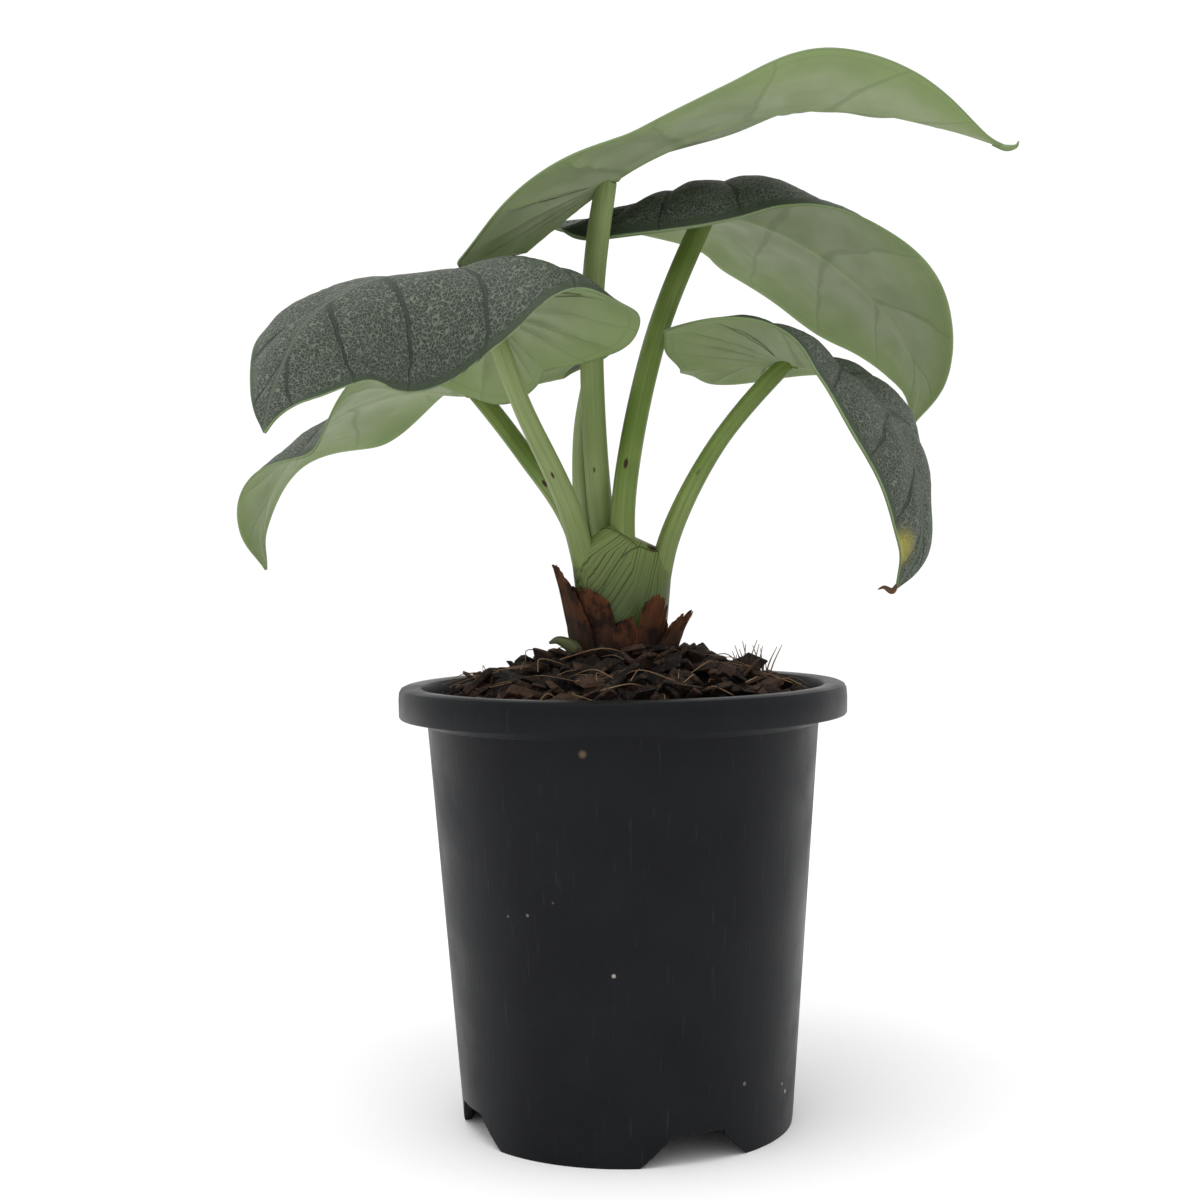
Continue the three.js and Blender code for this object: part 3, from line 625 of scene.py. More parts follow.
# %% Leaves, in the order in which they stand from the top
LEAVES = {
    "a": {
        "joint": (-3, -12, 291), "heading": -25, "half_width": 43, "notch": 0.26, "lobe_reach": 1,
        "ripple": (0.6, 5, 0.1), "radii": [4.4, 4, 3.6, 3.3],
        "petiole": [(0, 7, 156), (-6.5, 5.5, 195), (-8, -5, 250), (-3, -12, 291)],
        "stations": [
            (-47, -30, 0, 2, -20, 56, -20), (0, 0, 0, 2, -15, 28, -10),
            (29, 11, 0, -6, -5, 14, 0), (55, 16, 0, 0, 0, 14, 0),
            (80, 14, 0, 28, 0, 8, 0), (106, 6, 0, 44, 0, 20, 0),
            (123, -1, 0, 35, 0, 30, 0),
        ],
    },
    "b": {
        "joint": (30, 32, 288), "heading": 8, "half_width": 48, "notch": 0.28, "lobe_reach": 1.2,
        "ripple": (0.8, 5, 0.3), "radii": [4.2, 3.8, 3.6, 3.4],
        "petiole": [(2, -4, 156), (1.4, -0.5, 195), (12.2, 14, 245), (30, 32, 288)],
        "stations": [
            (-48, -10, -10, 10, -105, 52, -60), (0, 0, -10, 32, -125, 18, -20),
            (21, -3, -10, 24, -85, -3, 0), (43, -15, -10, 14, -40, -8, 0),
            (63, -33, -10, 10, 0, -14, 0), (73, -54, -10, 14, 0, -8, 0),
            (70, -70, -10, 20, 0, 10, 0),
        ],
    },
    "c": {
        "joint": (-40, -28, 251), "heading": 226, "half_width": 47, "notch": 0.28, "lobe_reach": 1.02,
        "ripple": (1, 5, 0.6), "radii": [4.2, 3.6, 3, 2.8],
        "petiole": [(-7.5, -5, 156), (-15.5, -9, 190), (-29.5, -18, 222), (-40, -28, 251)],
        "stations": [
            (-42, -27, 0, -8, -30, 56, -75), (0, 0, 0, 2, -30, 52, -115),
            (24, 7, 0, 2, -30, 12, -115), (46, 3, 0, 2, -30, -30, -105),
            (66, -9, 0, -4, -30, -52, -70), (77, -27, 0, -4, -10, -44, -40),
            (81, -40, 0, 0, 0, 0, 0),
        ],
    },
    "d": {
        "joint": (53, 0, 236), "heading": -20, "half_width": 36, "notch": 0.36, "lobe_reach": 1,
        "ripple": (0.5, 4, 0.5), "radii": [3.8, 3.3, 2.8, 2.7],
        "petiole": [(9.8, 1.5, 156), (16, -1, 183), (31, -2, 211), (53, 0, 236)],
        "stations": [
            (-45, 0, -20, 20, -60, 18, -40), (0, 0, -5, 36, -60, 20, -40),
            (20, -6, 5, 20, -45, 16, -50), (34, -20, 10, 6, -35, 0, -35),
            (41, -39, 15, 4, -30, -14, -30), (41, -58, 20, 0, -20, -14, -20),
            (34, -71, 25, 0, 0, -5, 0),
        ],
    },
    "e": {
        "joint": (-48, 48, 232), "heading": 160, "half_width": 38, "notch": 0.26, "lobe_reach": 1,
        "ripple": (1.4, 4, 0.2), "radii": [4, 3.6, 3.2, 3],
        "petiole": [(-8, 6.5, 156), (-15, 12.5, 186), (-31, 31, 210), (-48, 48, 232)],
        "stations": [
            (-28, 4, 0, 30, -10, 24, -10), (0, 0, 0, 26, -10, 16, -10),
            (28, 1, 0, 8, -10, 5, -10), (56, -8, 0, -12, -10, -22, -20),
            (76, -26, 0, 12, -10, -6, -20), (85, -46, 0, 20, -20, 18, -20),
            (82, -60, 0, 20, 0, 20, 0),
        ],
    },
}

# The rolled new leaf and the side bud.
NEW_LEAF = {
    "petiole": [(-5.5, 13.8, 156), (-7.5, 15.5, 172), (-11, 13.5, 190), (-11.5, 11, 215), (-9.5, 10, 238)],
    "radii": [3.2, 3.4, 3.6, 3, 0.7],
}
BUD_ROUTE = [(-7, -5, 138), (-13, -8, 146), (-19, -10, 150), (-22.5, -11, 149.5)]
BUD_RADII = [3.4, 2.6, 1.5, 0.4]

# %% [markdown]
# ## Stalk finish
# The stalks are smooth, light green and finely streaked along their length, with a few brown scars. The
# streaks are noise in the straightened coordinates, squeezed hard round the stalk and stretched along it.

# %% Finish of stalks and of the crown's sheaths
SCAR_COLOUR = (0.035, 0.016, 0.008)
TORN_COLOUR = (0.03, 0.014, 0.007)
TORN_SPOT = (9.8, -3.2, 178.4)
JOINING_COLOUR = (0.165, 0.215, 0.065)
STALK_JOIN = (0.205, 0.172)
CROWN_JOIN = (0.158, 0.184)


def stalk_finish(name, low_colour, high_colour, stripe_colour, stripes, scar_share, joining=None):
    """Streaked green skin with scars, and one colour at the heights where pieces join."""
    skin = Finish(name, 0.45, 0.25)
    place = skin.place()
    straight = skin.add("Attribute", attribute_name="straight").outputs["Vector"]
    streaks = skin.noise(skin.stretch(straight, (1500, 1500, 22)), 1)
    lines = skin.noise(skin.stretch(straight, (1150, 1150, 6)), 1, 1)
    blush = skin.noise(place, 30, 2)
    skin.base(skin.soft(blush, 0.35, 0.65), low_colour, high_colour)
    if joining:
        skin.paint(skin.soft(skin.parts(place)["Z"], *joining), JOINING_COLOUR)
    skin.paint(skin.soft(streaks, 0.45, 0.75, 0, 0.35), stripe_colour)
    skin.paint(skin.soft(lines, 0.56, 0.62, 0, stripes), stripe_colour)
    pattern = skin.cells(skin.stretch(straight, (190, 190, 75)), 1)
    scars = skin.soft(pattern["Distance"], scar_share * 0.5, scar_share, 1, 0)
    scars = skin.times(scars, skin.soft(skin.one_of(pattern), 0.72, 0.76))
    skin.paint(scars, SCAR_COLOUR)
    skin.paint(skin.near(place, TORN_SPOT, 0.9, 2.3), TORN_COLOUR)
    skin.bump(skin.math("SUBTRACT", skin.times(streaks, 0.5), scars), 0.0003, 0.6)
    return skin


# The darkest and lightest colour, the stripes' colour and strength, the scars' share, where it joins.
SKINS = {
    "pale_stalk": ((0.17, 0.23, 0.075), (0.25, 0.31, 0.125), (0.1, 0.15, 0.04), 0.25, 0.12, STALK_JOIN),
    "green_stalk": ((0.13, 0.2, 0.04), (0.2, 0.275, 0.075), (0.06, 0.1, 0.015), 0.3, 0.17, STALK_JOIN),
    "sheath": ((0.048, 0.075, 0.016), (0.082, 0.112, 0.032), (0.016, 0.03, 0.005), 0.75, 0.15, CROWN_JOIN),
    "new_leaf": ((0.22, 0.29, 0.11), (0.29, 0.35, 0.17), (0.16, 0.22, 0.08), 0.3, 0.02),
    "bud": ((0.05, 0.07, 0.025), (0.11, 0.12, 0.05), (0.03, 0.03, 0.012), 0.5, 0.02),
}
skins = {name: stalk_finish(name + "_skin", *values) for name, values in SKINS.items()}

# %% The five stalks, each bent at its end into its blade's midrib
PALE_STALKS = "ac"
PETIOLE_SIDES = 28
PETIOLE_STEPS = 44
BEND_BELOW_JOINT = 2.2
RIB_PLACE = 1.12
RIB_DEPTH = 1
RIB_RADIUS = 0.9
for letter, leaf in LEAVES.items():
    joint = Vector(leaf["petiole"][3])
    upward = (joint - Vector(row_at(leaf["petiole"], 2.9))).normalized()
    heading = radians(leaf["heading"])
    ahead, rise = row_at(leaf["stations"], RIB_PLACE)[:2]
    into_rib = joint + around(ahead, heading, rise - RIB_DEPTH)
    route = [*leaf["petiole"][:3], joint - upward * BEND_BELOW_JOINT, into_rib]
    tube = route, [*leaf["radii"], RIB_RADIUS], PETIOLE_SIDES, PETIOLE_STEPS
    skin = skins["pale_stalk" if letter in PALE_STALKS else "green_stalk"]
    finish_tube("stalk_" + letter, tube, skin, "petiole_" + letter)

# %% [markdown]
# ## The crown
# Each stalk widens at its foot into a sheath that wraps the ones inside it. Together they make the
# plant's short, thick neck: a core, one widening tube for each stalk, and a hull round a few balls that
# fills the flat neck between them. Two thin ridges show where one sheath's edge wraps over the next.

# %% Core, sheath bases and neck
CROWN_FOOT = 104
CROWN_TOP = 164
CROWN_OUTLINE = [
    (0, CROWN_FOOT), (5, CROWN_FOOT), (9, CROWN_FOOT + 12), (11.5, CROWN_FOOT + 34), (12.5, CROWN_TOP - 10),
    (8.5, CROWN_TOP), (0, CROWN_TOP),
]
NECK_BALLS = [
    (-10.5, -6.5, 175, 4.2), (-9.5, 8, 172, 4.4), (11.5, 0.5, 174, 4.2), (1.5, -3.5, 178, 4.4),
    (-3.5, -4, 181, 4.2), (-4, 6, 179, 4.4), (0, 0, 152, 12),
]
SHEATH_END = 0.62
STREAK_FOCUS = (14, 192)
STREAK_REACH = 32


def sheath_route(stalk):
    """The lower part of a stalk's route, carried down into the crown."""
    x, y, z = stalk["petiole"][0]
    low = (x * 0.35, y * 0.35, CROWN_FOOT + 30)
    middle = (x * 0.62, y * 0.62, lerp(low[2], z, 0.55))
    return [low, middle, (x * 0.93, y * 0.93, z), row_at(stalk["petiole"], SHEATH_END)]


def add_neck(bm):
    """The hull round the neck's balls, with streaks that gather towards the foot of the right stalk."""
    straight = bm.verts.layers.float_vector["straight"]
    before = set(bm.verts)
    for x, y, z, radius in NECK_BALLS:
        bmesh.ops.create_icosphere(bm, subdivisions=4, radius=radius, matrix=Matrix.Translation((x, y, z)))
    neck = [vert for vert in bm.verts if vert not in before]
    faces = {face for vert in neck for face in vert.link_faces}
    edges = {edge for vert in neck for edge in vert.link_edges}
    bmesh.ops.delete(bm, geom=[*edges, *faces], context="EDGES_FACES")
    inside = bmesh.ops.convex_hull(bm, input=neck)["geom_interior"]
    bmesh.ops.delete(bm, geom=inside, context="VERTS")
    for vert in bm.verts:
        if vert not in before:
            fan = atan2(vert.co.x - STREAK_FOCUS[0], STREAK_FOCUS[1] - vert.co.z)
            vert[straight] = Vector((fan * STREAK_REACH, 0, vert.co.z)) * MILLIMETRE


crown_bm = bmesh.new()
spin_outline(crown_bm, CROWN_OUTLINE, 32)
for stalk in [*LEAVES.values(), NEW_LEAF]:
    radius = stalk["radii"][0]
    end_radius = row_at([[value] for value in stalk["radii"]], SHEATH_END)[0] - 0.3
    add_tube(crown_bm, sheath_route(stalk), [8, 7.2, radius + 1.7, end_radius], 36, 24)
add_neck(crown_bm)

# %% Edges of the sheaths, laid on the neck where a line from the front meets it
SHEATH_EDGES = [
    [(-8, 183), (-5, 184.6), (-2, 184), (2.5, 181.4), (5.5, 178.6)],
    [(12.5, 177), (9, 177.6), (5.5, 178.6), (0.8, 176), (-3.3, 170.6), (-7, 163)],
]
SHEATH_EDGE_RADIUS = 0.26
SHEATH_EDGE_POINTS = 25
crown_surface = BVHTree.FromBMesh(crown_bm)
for edge_points in SHEATH_EDGES:
    laid = []
    for step in range(SHEATH_EDGE_POINTS):
        x, z = row_at(edge_points, step / (SHEATH_EDGE_POINTS - 1) * (len(edge_points) - 1))
        hit = crown_surface.ray_cast(Vector((x, -60, z)), Vector((0, 1, 0)))[0]
        if hit:
            laid.append(hit)
    add_tube(crown_bm, laid, [SHEATH_EDGE_RADIUS] * len(laid), 8, 60)
finish_piece("crown_sheaths", crown_bm, [skins["sheath"]], ["crown"])

# %% The new leaf, rolled tight, and the side bud
new_leaf_tube = NEW_LEAF["petiole"], NEW_LEAF["radii"], 24, 40
finish_tube("rolled_new_leaf", new_leaf_tube, skins["new_leaf"], "new_leaf")
finish_tube("hooked_bud", (BUD_ROUTE, BUD_RADII, 20, 20), skins["bud"], "side_bud")

# %% [markdown]
# ## The blades
# A blade is a thick sheet with a fold at the midrib and pockets swelling up between the side veins. A
# grid is surer here than sculpting: one way it counts the side veins from the notch to the tip, the other
# way it runs from margin to margin. Every point is carried to its place on the folded, drooping leaf, and
# the sheet gets its thickness by extruding all of its faces.

# %% Flat outline of half a blade: lengths forward of the joint, half widths out
BLADE_OUTLINE = [
    (-0.26, 0), (-0.34, 0.22), (-0.375, 0.44), (-0.33, 0.68), (-0.18, 0.89), (0.03, 1),
    (0.28, 0.96), (0.55, 0.76), (0.78, 0.44), (0.93, 0.15), (1, 0),
]
NOTCH_ROUNDING = 0.05
BACK_LOBE_SHARE = 0.45
VEIN_CROWDING = 1.2
MIDRIB_VALLEY = 4
LATERAL_VEINS = 10
QUILT_HEIGHT = 1.3
HALF_THICKNESS = 0.42

# %% Outline and midrib of a leaf


def outline_of(leaf):
    """The outline with the leaf's own notch and back lobes."""
    outline = [[u * leaf["lobe_reach"] if u < 0 else u, v] for u, v in BLADE_OUTLINE]
    outline[0][0] = -leaf["notch"]
    outline[1][0] = (outline[2][0] - leaf["notch"] - NOTCH_ROUNDING) / 2
    return outline


def midrib_of(leaf):
    """Points along the midrib, with their station values and their distance from the joint."""
    per_span = 30
    heading = radians(leaf["heading"])
    forward = around(1, heading, 0)
    left = Vector((-forward.y, forward.x, 0))
    steps = (len(leaf["stations"]) - 1) * per_span
    rows = [row_at(leaf["stations"], step / per_span) for step in range(steps + 1)]
    joint = Vector(leaf["joint"])
    points = [joint + forward * row[0] + Vector((0, 0, row[1])) for row in rows]
    arcs = [0.0]
    for before, after in zip(points, points[1:]):
        arcs.append(arcs[-1] + (after - before).length)
    at_joint = arcs[per_span]
    return {"rows": rows, "points": points, "arcs": [arc - at_joint for arc in arcs], "left": left}


def midrib_frame(midrib, arc):
    """The midrib's point, side and up directions and station values at a distance from the joint."""
    arcs, points, rows = midrib["arcs"], midrib["points"], midrib["rows"]
    last = len(arcs) - 1
    held = min(max(arc, arcs[0]), arcs[last])
    i = min(max(bisect.bisect_left(arcs, held) - 1, 0), last - 1)
    w = (held - arcs[i]) / (arcs[i + 1] - arcs[i])
    along = (points[min(i + 5, last)] - points[max(i - 5, 0)]).normalized()
    point = points[i].lerp(points[i + 1], w) + along * (arc - held)
    row = [lerp(a, b, w) for a, b in zip(rows[i], rows[i + 1])]
    left = midrib["left"]
    level = (left - along * along.dot(left)).normalized()
    up = along.cross(level)
    roll = radians(row[2])
    side = level * cos(roll) + up * sin(roll)
    return point, side, along.cross(side), row


# %% From a place on the flat blade to a place on the grown one


def curl(start, turn, length):
    """How far out and up a strip reaches that starts at one slope and turns evenly along its length."""
    if abs(turn) < 1e-6:
        return length * cos(start), length * sin(start)
    end = start + turn * length
    return (sin(end) - sin(start)) / turn, (cos(start) - cos(end)) / turn


def flat_place(leaf, outline, length, vein, reach):
    """Where a side vein's point lies on the flat blade, forward of the joint and out from the midrib."""
    out_u, out_v = row_at(outline, vein * (len(outline) - 1))
    past = max(vein - BACK_LOBE_SHARE, 0) / (1 - BACK_LOBE_SHARE)
    root_x = past ** VEIN_CROWDING * length
    margin_x = out_u * length
    margin_y = out_v * leaf["half_width"]
    sweep = -0.1 * margin_y if vein > 0.4 else 0
    bend_x = (root_x + margin_x) / 2 + sweep
    keep = 1 - reach
    x = keep * keep * root_x + 2 * reach * keep * bend_x + reach * reach * margin_x
    return x, reach * margin_y


def grown_place(leaf, midrib, half, x, y):
    """The place and the up direction of a flat point on the folded, drooping leaf."""
    point, side, up, row = midrib_frame(midrib, x)
    fold = radians(row[5] if half > 0 else row[3])
    droop = radians(row[6] if half > 0 else row[4]) / leaf["half_width"]
    in_valley = min(y, MIDRIB_VALLEY)
    beyond = max(y - MIDRIB_VALLEY, 0)
    valley_out, valley_rise = curl(0, fold / MIDRIB_VALLEY, in_valley)
    slope_out, slope_rise = curl(fold, droop, beyond)
    tilt = fold * in_valley / MIDRIB_VALLEY + droop * beyond
    point = point + side * ((valley_out + slope_out) * half) + up * (valley_rise + slope_rise)
    return point, up * cos(tilt) - side * (half * sin(tilt))


def quilt_relief(leaf, vein, reach, x, y):
    """How far the blade swells between its side veins, and ripples near its margin."""
    height, waves, start = leaf["ripple"]
    width = leaf["half_width"] * row_at(BLADE_OUTLINE, vein * (len(BLADE_OUTLINE) - 1))[1]
    room = min(width / 20, 1)
    pocket = abs(sin(pi * vein * LATERAL_VEINS))
    between = -0.4 + 1.4 * pocket ** 0.75
    swell = smoothstep(reach, 0.14, 0.4) * (1 - smoothstep(reach, 0.72, 1.02))
    wander = 1 + 0.5 * noise.noise(Vector((x * 0.09, y * 0.09, leaf["heading"])))
    ripple = height * sin(pi * vein) * reach * reach
    ripple *= sin(2 * pi * (waves * vein + start))
    dimples = 0.22 * noise.noise(Vector((x * 0.35, y * 0.35, 3 + leaf["heading"]))) * swell
    return QUILT_HEIGHT * room * between * swell * wander + ripple + dimples


# %% Building one blade
VEIN_STEPS = 160
REACH_STEPS = 80


def build_blade(leaf):
    """A grid carried onto the leaf, welded where it closes up, and extruded to its thickness."""
    bm = bmesh.new()
    bmesh.ops.create_grid(bm, x_segments=VEIN_STEPS, y_segments=REACH_STEPS, size=0.5)
    veins = bm.loops.layers.uv.new("veins")
    flat = bm.loops.layers.uv.new("flat")
    up_layer = bm.verts.layers.float_vector.new("up")
    rib_layer = bm.verts.layers.float.new("rib")
    midrib = midrib_of(leaf)
    length = midrib["arcs"][-1]
    outline = outline_of(leaf)
    flat_of = {}
    for vert in bm.verts:
        vein = min(max(vert.co.x + 0.5, 0), 1)
        signed = 2 * vert.co.y
        half = 1 if signed >= 0 else -1
        reach = min(abs(signed), 1)
        x, y = flat_place(leaf, outline, length, vein, reach)
        flat_of[vert.index] = (vein, signed, x, y * half)
        point, up = grown_place(leaf, midrib, half, x, y)
        vert.co = point + up * quilt_relief(leaf, vein, reach, x, y * half)
        vert[up_layer] = up
        rib = max(1 - x / length, 0.15) if x > 0 else 1
        vert[rib_layer] = 1.2 * rib * exp(-((y / 1.7) ** 2))
    for face in bm.faces:
        for loop in face.loops:
            vein, signed, x, y = flat_of[loop.vert.index]
            loop[veins].uv = (vein, signed)
            loop[flat].uv = (x / 10, y / 10)
    bmesh.ops.remove_doubles(bm, verts=bm.verts, dist=2e-3)
    under = list(bm.faces)
    pushed = bmesh.ops.extrude_face_region(bm, geom=under, use_keep_orig=True)["geom"]
    over = {item for item in pushed if isinstance(item, bmesh.types.BMFace)}
    over_verts = {vert for face in over for vert in face.verts}
    under = set(under)
    for face in bm.faces:
        face.material_index = 0 if face in over else 1 if face in under else 2
    for vert in bm.verts:
        up = vert[up_layer].normalized()
        vert.co += up * HALF_THICKNESS if vert in over_verts else -up * (HALF_THICKNESS + vert[rib_layer])
    return bm


# %% [markdown]
# The upper face is the plant's mark: dark grey-green, pebbled all over with a fine raised net that is
# paler than the pits between, with the side veins as smooth grooves that get painted shade. The net is
# the edges of a Voronoi pattern, bent by noise so that the cells look grown, and drawn on the flattened
# blade.

# %% Where the veins run, for both faces of a blade


def vein_marks(skin):
    """Flat coordinates, the reach from midrib to margin, and how far the side veins and the midrib are."""
    flat = skin.add("UVMap", uv_map="flat").outputs["UV"]
    veins = skin.parts(skin.add("UVMap", uv_map="veins").outputs["UV"])
    reach = skin.math("ABSOLUTE", veins["Y"])
    wander = skin.times(skin.noise(flat, 0.7, 2), 0.25)
    count = skin.math("ADD", skin.times(veins["X"], LATERAL_VEINS), wander)
    beside = skin.math("PINGPONG", skin.math("SUBTRACT", count, 0.125), 0.5)
    spacing = skin.math("ADD", skin.times(reach, 9), 2.5)
    from_rib = skin.times(skin.math("ABSOLUTE", skin.parts(flat)["Y"]), 10)
    return flat, reach, skin.times(beside, spacing), from_rib


# %% Finish of the upper face
NET_COLOUR = (0.145, 0.17, 0.125)
GROOVE_SHADE_COLOUR = (0.028, 0.037, 0.027)
RIB_COLOUR = (0.085, 0.108, 0.075)
BORDER_COLOUR = (0.05, 0.072, 0.04)
EDGE_COLOUR = (0.22, 0.3, 0.15)
YELLOW = (0.3, 0.27, 0.06)
YELLOW_SPOT = (84, -21, 177)

upper = Finish("leaf_topside", 0.6, 0.22)
flat, reach, away, from_rib = vein_marks(upper)
groove = upper.soft(away, 0.05, 0.32, 1, 0)
rib = upper.soft(from_rib, 0.4, 1.1, 1, 0)
line = upper.math("MAXIMUM", groove, rib)
jitter = upper.add("TexNoise", {"Vector": flat, "Scale": 5, "Detail": 1.0}).outputs["Color"]
jitter = upper.add("VectorMath", {0: jitter, 1: (0.5, 0.5, 0.5)}, operation="SUBTRACT").outputs[0]
jitter = upper.add("VectorMath", {0: jitter, "Scale": 0.16}, operation="SCALE").outputs[0]
bent = upper.add("VectorMath", {0: flat, 1: jitter}, operation="ADD").outputs[0]
coarse = upper.cells(bent, 9, feature="DISTANCE_TO_EDGE")["Distance"]
fine = upper.cells(bent, 15, feature="DISTANCE_TO_EDGE")["Distance"]
fine_net = upper.soft(fine, 0.02, 0.16, 0.35, 0)
net = upper.math("MAXIMUM", upper.soft(coarse, 0.03, 0.16, 1, 0), fine_net)
border = upper.soft(reach, 0.9, 0.97)
smooth_part = upper.math("MAXIMUM", line, border)
net = upper.times(net, upper.math("SUBTRACT", 1, upper.times(smooth_part, 0.8)))
upper.base(upper.noise(flat, 0.8), (0.021, 0.029, 0.021), (0.04, 0.049, 0.04))
upper.paint(upper.times(net, 0.8), NET_COLOUR)
# Painted shade: the side veins' grooves are darkened, standing in for the shade that falls in them.
upper.paint(upper.times(groove, 0.45), GROOVE_SHADE_COLOUR)
upper.paint(upper.times(rib, 0.85), RIB_COLOUR)
upper.paint(upper.times(border, 0.7), BORDER_COLOUR)
upper.paint(upper.near(upper.place(), YELLOW_SPOT, 2, 9), YELLOW)
upper.paint(upper.soft(reach, 0.983, 0.995), EDGE_COLOUR)
upper.bump(upper.math("SUBTRACT", upper.times(net, 0.8), line), 0.0005, 0.8)

# %% [markdown]
# The lower face is quite another skin: matt sage green in soft patches and greener outwards, with the
# veins as faint darker threads and one more thread just inside the margin.

# %% Finish of the lower face and of the cut edge
SAGE = (0.25, 0.3, 0.165)
PALE_SAGE = (0.3, 0.35, 0.215)
OUTER_GREEN = (0.19, 0.27, 0.085)
UNDER_RIB_COLOUR = (0.25, 0.32, 0.14)
THREAD_COLOUR = (0.14, 0.19, 0.085)
THREAD_REACH = 0.93

lower = Finish("leaf_underside", 0.6, 0.2)
flat, reach, away, from_rib = vein_marks(lower)
beside_margin = lower.math("ABSOLUTE", lower.math("SUBTRACT", reach, THREAD_REACH))
margin_thread = lower.soft(beside_margin, 0.003, 0.014, 0.2, 0)
thread = lower.math("MAXIMUM", lower.soft(away, 0.08, 0.35, 0.35, 0), margin_thread)
lower.base(lower.soft(lower.noise(flat, 0.7, 2), 0.3, 0.7), SAGE, PALE_SAGE)
lower.paint(lower.soft(reach, 0.35, 1, 0, 0.7), OUTER_GREEN)
lower.paint(lower.soft(from_rib, 0.6, 2.6, 0.5, 0), UNDER_RIB_COLOUR)
lower.paint(thread, THREAD_COLOUR)
mottle = lower.noise(flat, 14)
lower.bump(lower.math("ADD", lower.times(mottle, 0.3), thread), 0.0003, 0.5)

margin = Finish("leaf_margin", 0.5, 0.3)
patches = margin.noise(margin.place(), 60)
margin.base(patches, (0.11, 0.16, 0.06), (0.21, 0.28, 0.12))

# %% The five blades
for letter, leaf in LEAVES.items():
    blade = build_blade(leaf)
    finish_piece("leaf_blade_" + letter, blade, [upper, lower, margin], ["blade_" + letter])

# %% Curled leaf tips, pale on the top leaf and dried brown on the low right one
dried = Finish("dried_tip", 0.8, 0.3)
dried.feed("Base Color", (0.09, 0.045, 0.02, 1))
TIP_RADII = [0.5, 0.95, 0.6, 0.15]
TIP_FLATNESS = 0.6
TIPS = {
    "a": ([(105.5, -62.8, 290.8), (109, -64.1, 289.4), (111.5, -65, 289.6), (112.4, -65.4, 291)], margin),
    "d": ([(85, -11.7, 166), (83.4, -11.8, 164), (81, -12, 165.2), (79, -12, 164.6)], dried),
}
for letter, (route, tip_finish) in TIPS.items():
    tube = route, TIP_RADII, 12, 24, TIP_FLATNESS
    finish_tube("curled_tip_" + letter, tube, tip_finish, "blade_" + letter)

# %% [markdown]
# ## Old papery sheaths
# Dead sheaths ring the crown, brown, fibrous and torn. Each is a sheet bent round the crown, so it starts
# as a grid whose columns run round and whose rows run up to a ragged edge, and gets its thickness from
# Solidify.

# %% Sheets round the crown
SHEATH_RADIUS = 14.6
SHEATH_LAYER = 1.2
SHEATH_THICKNESS = 0.35
SHEATH_FOOT = 141
# The middle angle, half the span, the layer, the tip's height and lean, and how the upper edge falls.
DRY_SHEATHS = [
    (246, 58, 0, 167, 3.5, -0.8, 0.22), (200, 42, 1, 172, 6, 0, 0.6), (306, 26, 1, 163, 4, -0.1, 0.45),
    (350, 46, 2, 158, 5.5, -0.2, 0.45), (88, 52, 0, 162, 4, 0, 0.5),
]


def build_dry_sheath(sheath, seed):
    """A torn sheet that narrows to a leaning tip."""
    angle, half_span, layer, tip, lean, peak, fall = sheath
    bm = bmesh.new()
    bmesh.ops.create_grid(bm, x_segments=44, y_segments=26, size=0.5)
    threads = bm.loops.layers.uv.new("threads")
    for face in bm.faces:
        for loop in face.loops:
            loop[threads].uv = loop.vert.co.xy
    for vert in bm.verts:
        s, t = 2 * vert.co.x, vert.co.y + 0.5
        turn = radians(angle + s * half_span * (1 - 0.2 * t))
        tears = 0.22 * noise.noise(Vector((s * 13, seed, 4)))
        ragged = 1 + 0.55 * noise.noise(Vector((s * 4, seed, 0))) + tears
        rise = t * (1 - fall * (s - peak) ** 2) * min(ragged, 1.05)
        radius = SHEATH_RADIUS + layer * SHEATH_LAYER + lean * rise * rise
        radius += 1.1 * t * noise.noise(Vector((s * 3.4, t * 2.6, seed)))
        radius += 0.18 * sin(s * 46) * t
        vert.co = around(radius, turn, lerp(SHEATH_FOOT, tip, rise))
    bmesh.ops.recalc_face_normals(bm, faces=bm.faces)
    bmesh.ops.solidify(bm, geom=bm.faces[:], thickness=SHEATH_THICKNESS)
    return bm


# %% Finish of the dead sheaths
ORANGE_TIP = (0.14, 0.045, 0.014)
GRAIN_COLOUR = (0.13, 0.06, 0.03)
STAIN_COLOUR = (0.014, 0.007, 0.005)
DARK_FOOT_COLOUR = (0.012, 0.007, 0.005)

papery = Finish("papery_sheath", 0.8, 0.15)
threads = papery.add("UVMap", uv_map="threads").outputs["UV"]
upward = papery.parts(threads)["Y"]
grain = papery.noise(papery.stretch(threads, (60, 3, 1)), 1, 4, 0.6)
stain = papery.noise(papery.place(), 120, 4, 0.6)
papery.base(papery.soft(stain, 0.35, 0.65), (0.018, 0.009, 0.006), (0.075, 0.028, 0.013))
papery.paint(papery.soft(upward, 0.1, 0.5, 0, 0.45), ORANGE_TIP)
papery.paint(papery.soft(grain, 0.5, 0.75, 0, 0.5), GRAIN_COLOUR)
papery.paint(papery.soft(stain, 0.5, 0.42, 0, 0.75), STAIN_COLOUR)
# The sheets get darker towards their foot.
papery.paint(papery.soft(upward, 0.2, -0.25, 0, 0.8), DARK_FOOT_COLOUR)
papery.bump(grain, 0.0005, 0.8)

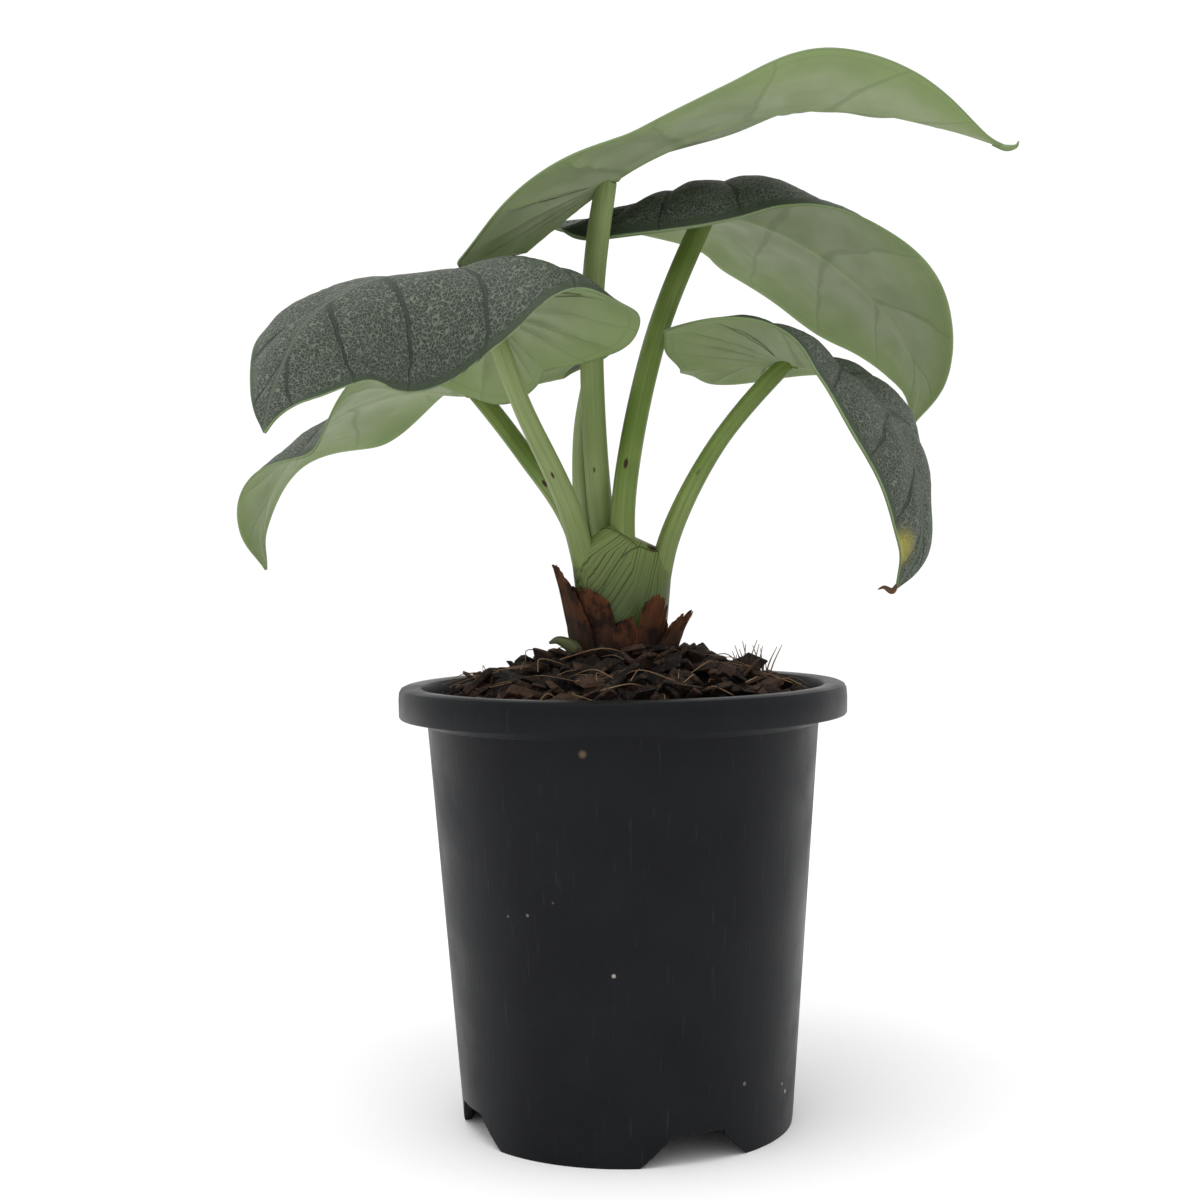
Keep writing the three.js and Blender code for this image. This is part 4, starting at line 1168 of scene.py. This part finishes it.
for number, sheath in enumerate(DRY_SHEATHS, start=1):
    sheet = build_dry_sheath(sheath, number * 3.7)
    finish_piece(f"torn_sheath_{number}", sheet, [papery], [f"dry_sheath_{number}"])

# %% [markdown]
# ## Coir
# Pale shreds of coir lie across the bark, and some stand up from it. They are tubes of three sides with a
# curved route, laid on the heap by a seeded draw.

# %% Shreds of coir
coir = Finish("coir", 0.8, 0.3)
coir.base(coir.noise(coir.place(), 90), (0.1, 0.05, 0.025), (0.34, 0.22, 0.12))

coir_draw = random.Random(23)
within = coir_draw.uniform
coir_bm = bmesh.new()
coir_bm.verts.layers.float_vector.new("straight")


def add_shred(centre, heading, length, lift, thickness):
    """One shred that arches over the bark."""
    ahead = around(1, heading, 0)
    sideways = Vector((-ahead.y, ahead.x, 0)) * within(-0.3, 0.3) * length
    start = Vector(centre) - ahead * length / 2
    middle = Vector(centre) + sideways + Vector((0, 0, lift))
    end = Vector(centre) + ahead * length / 2 + Vector((0, 0, within(-0.5, 1)))
    shred = bmesh.new()
    add_tube(shred, [start, middle, end], [thickness, thickness, thickness * 0.4], 3, 8)
    join_into(coir_bm, shred)


SHREDS = 90
for index in range(SHREDS):
    ring = 57 * sqrt(coir_draw.random())
    turn = within(0, 2 * pi)
    if ring < 17:
        continue
    length = within(6, 24)
    if ring + length / 2 > 60:
        length = max(2 * (60 - ring), 4)
    spot = around(ring, turn, heap_height(ring) + within(2, 4.5))
    heading = within(0, pi)
    lift = within(0.5, 3.5)
    add_shred(spot, heading, length, lift, within(0.09, 0.2))

# %% A tuft that stands up at the right, behind the middle
TUFT_SHREDS = 26
TUFT_X, TUFT_Y, TUFT_Z = 44, 14, 134
for index in range(TUFT_SHREDS):
    foot = Vector((TUFT_X + within(-6, 6), TUFT_Y + within(-5, 5), TUFT_Z))
    lean = Vector((within(-6, 6), within(-4, 4), within(6, 14)))
    bend = Vector((within(-2, 2), within(-2, 2), 0))
    shred = bmesh.new()
    add_tube(shred, [foot, foot + lean * 0.5 + bend, foot + lean], [0.3, 0.26, 0.12], 3, 6)
    join_into(coir_bm, shred)
finish_piece("coir_shreds", coir_bm, [coir], [])
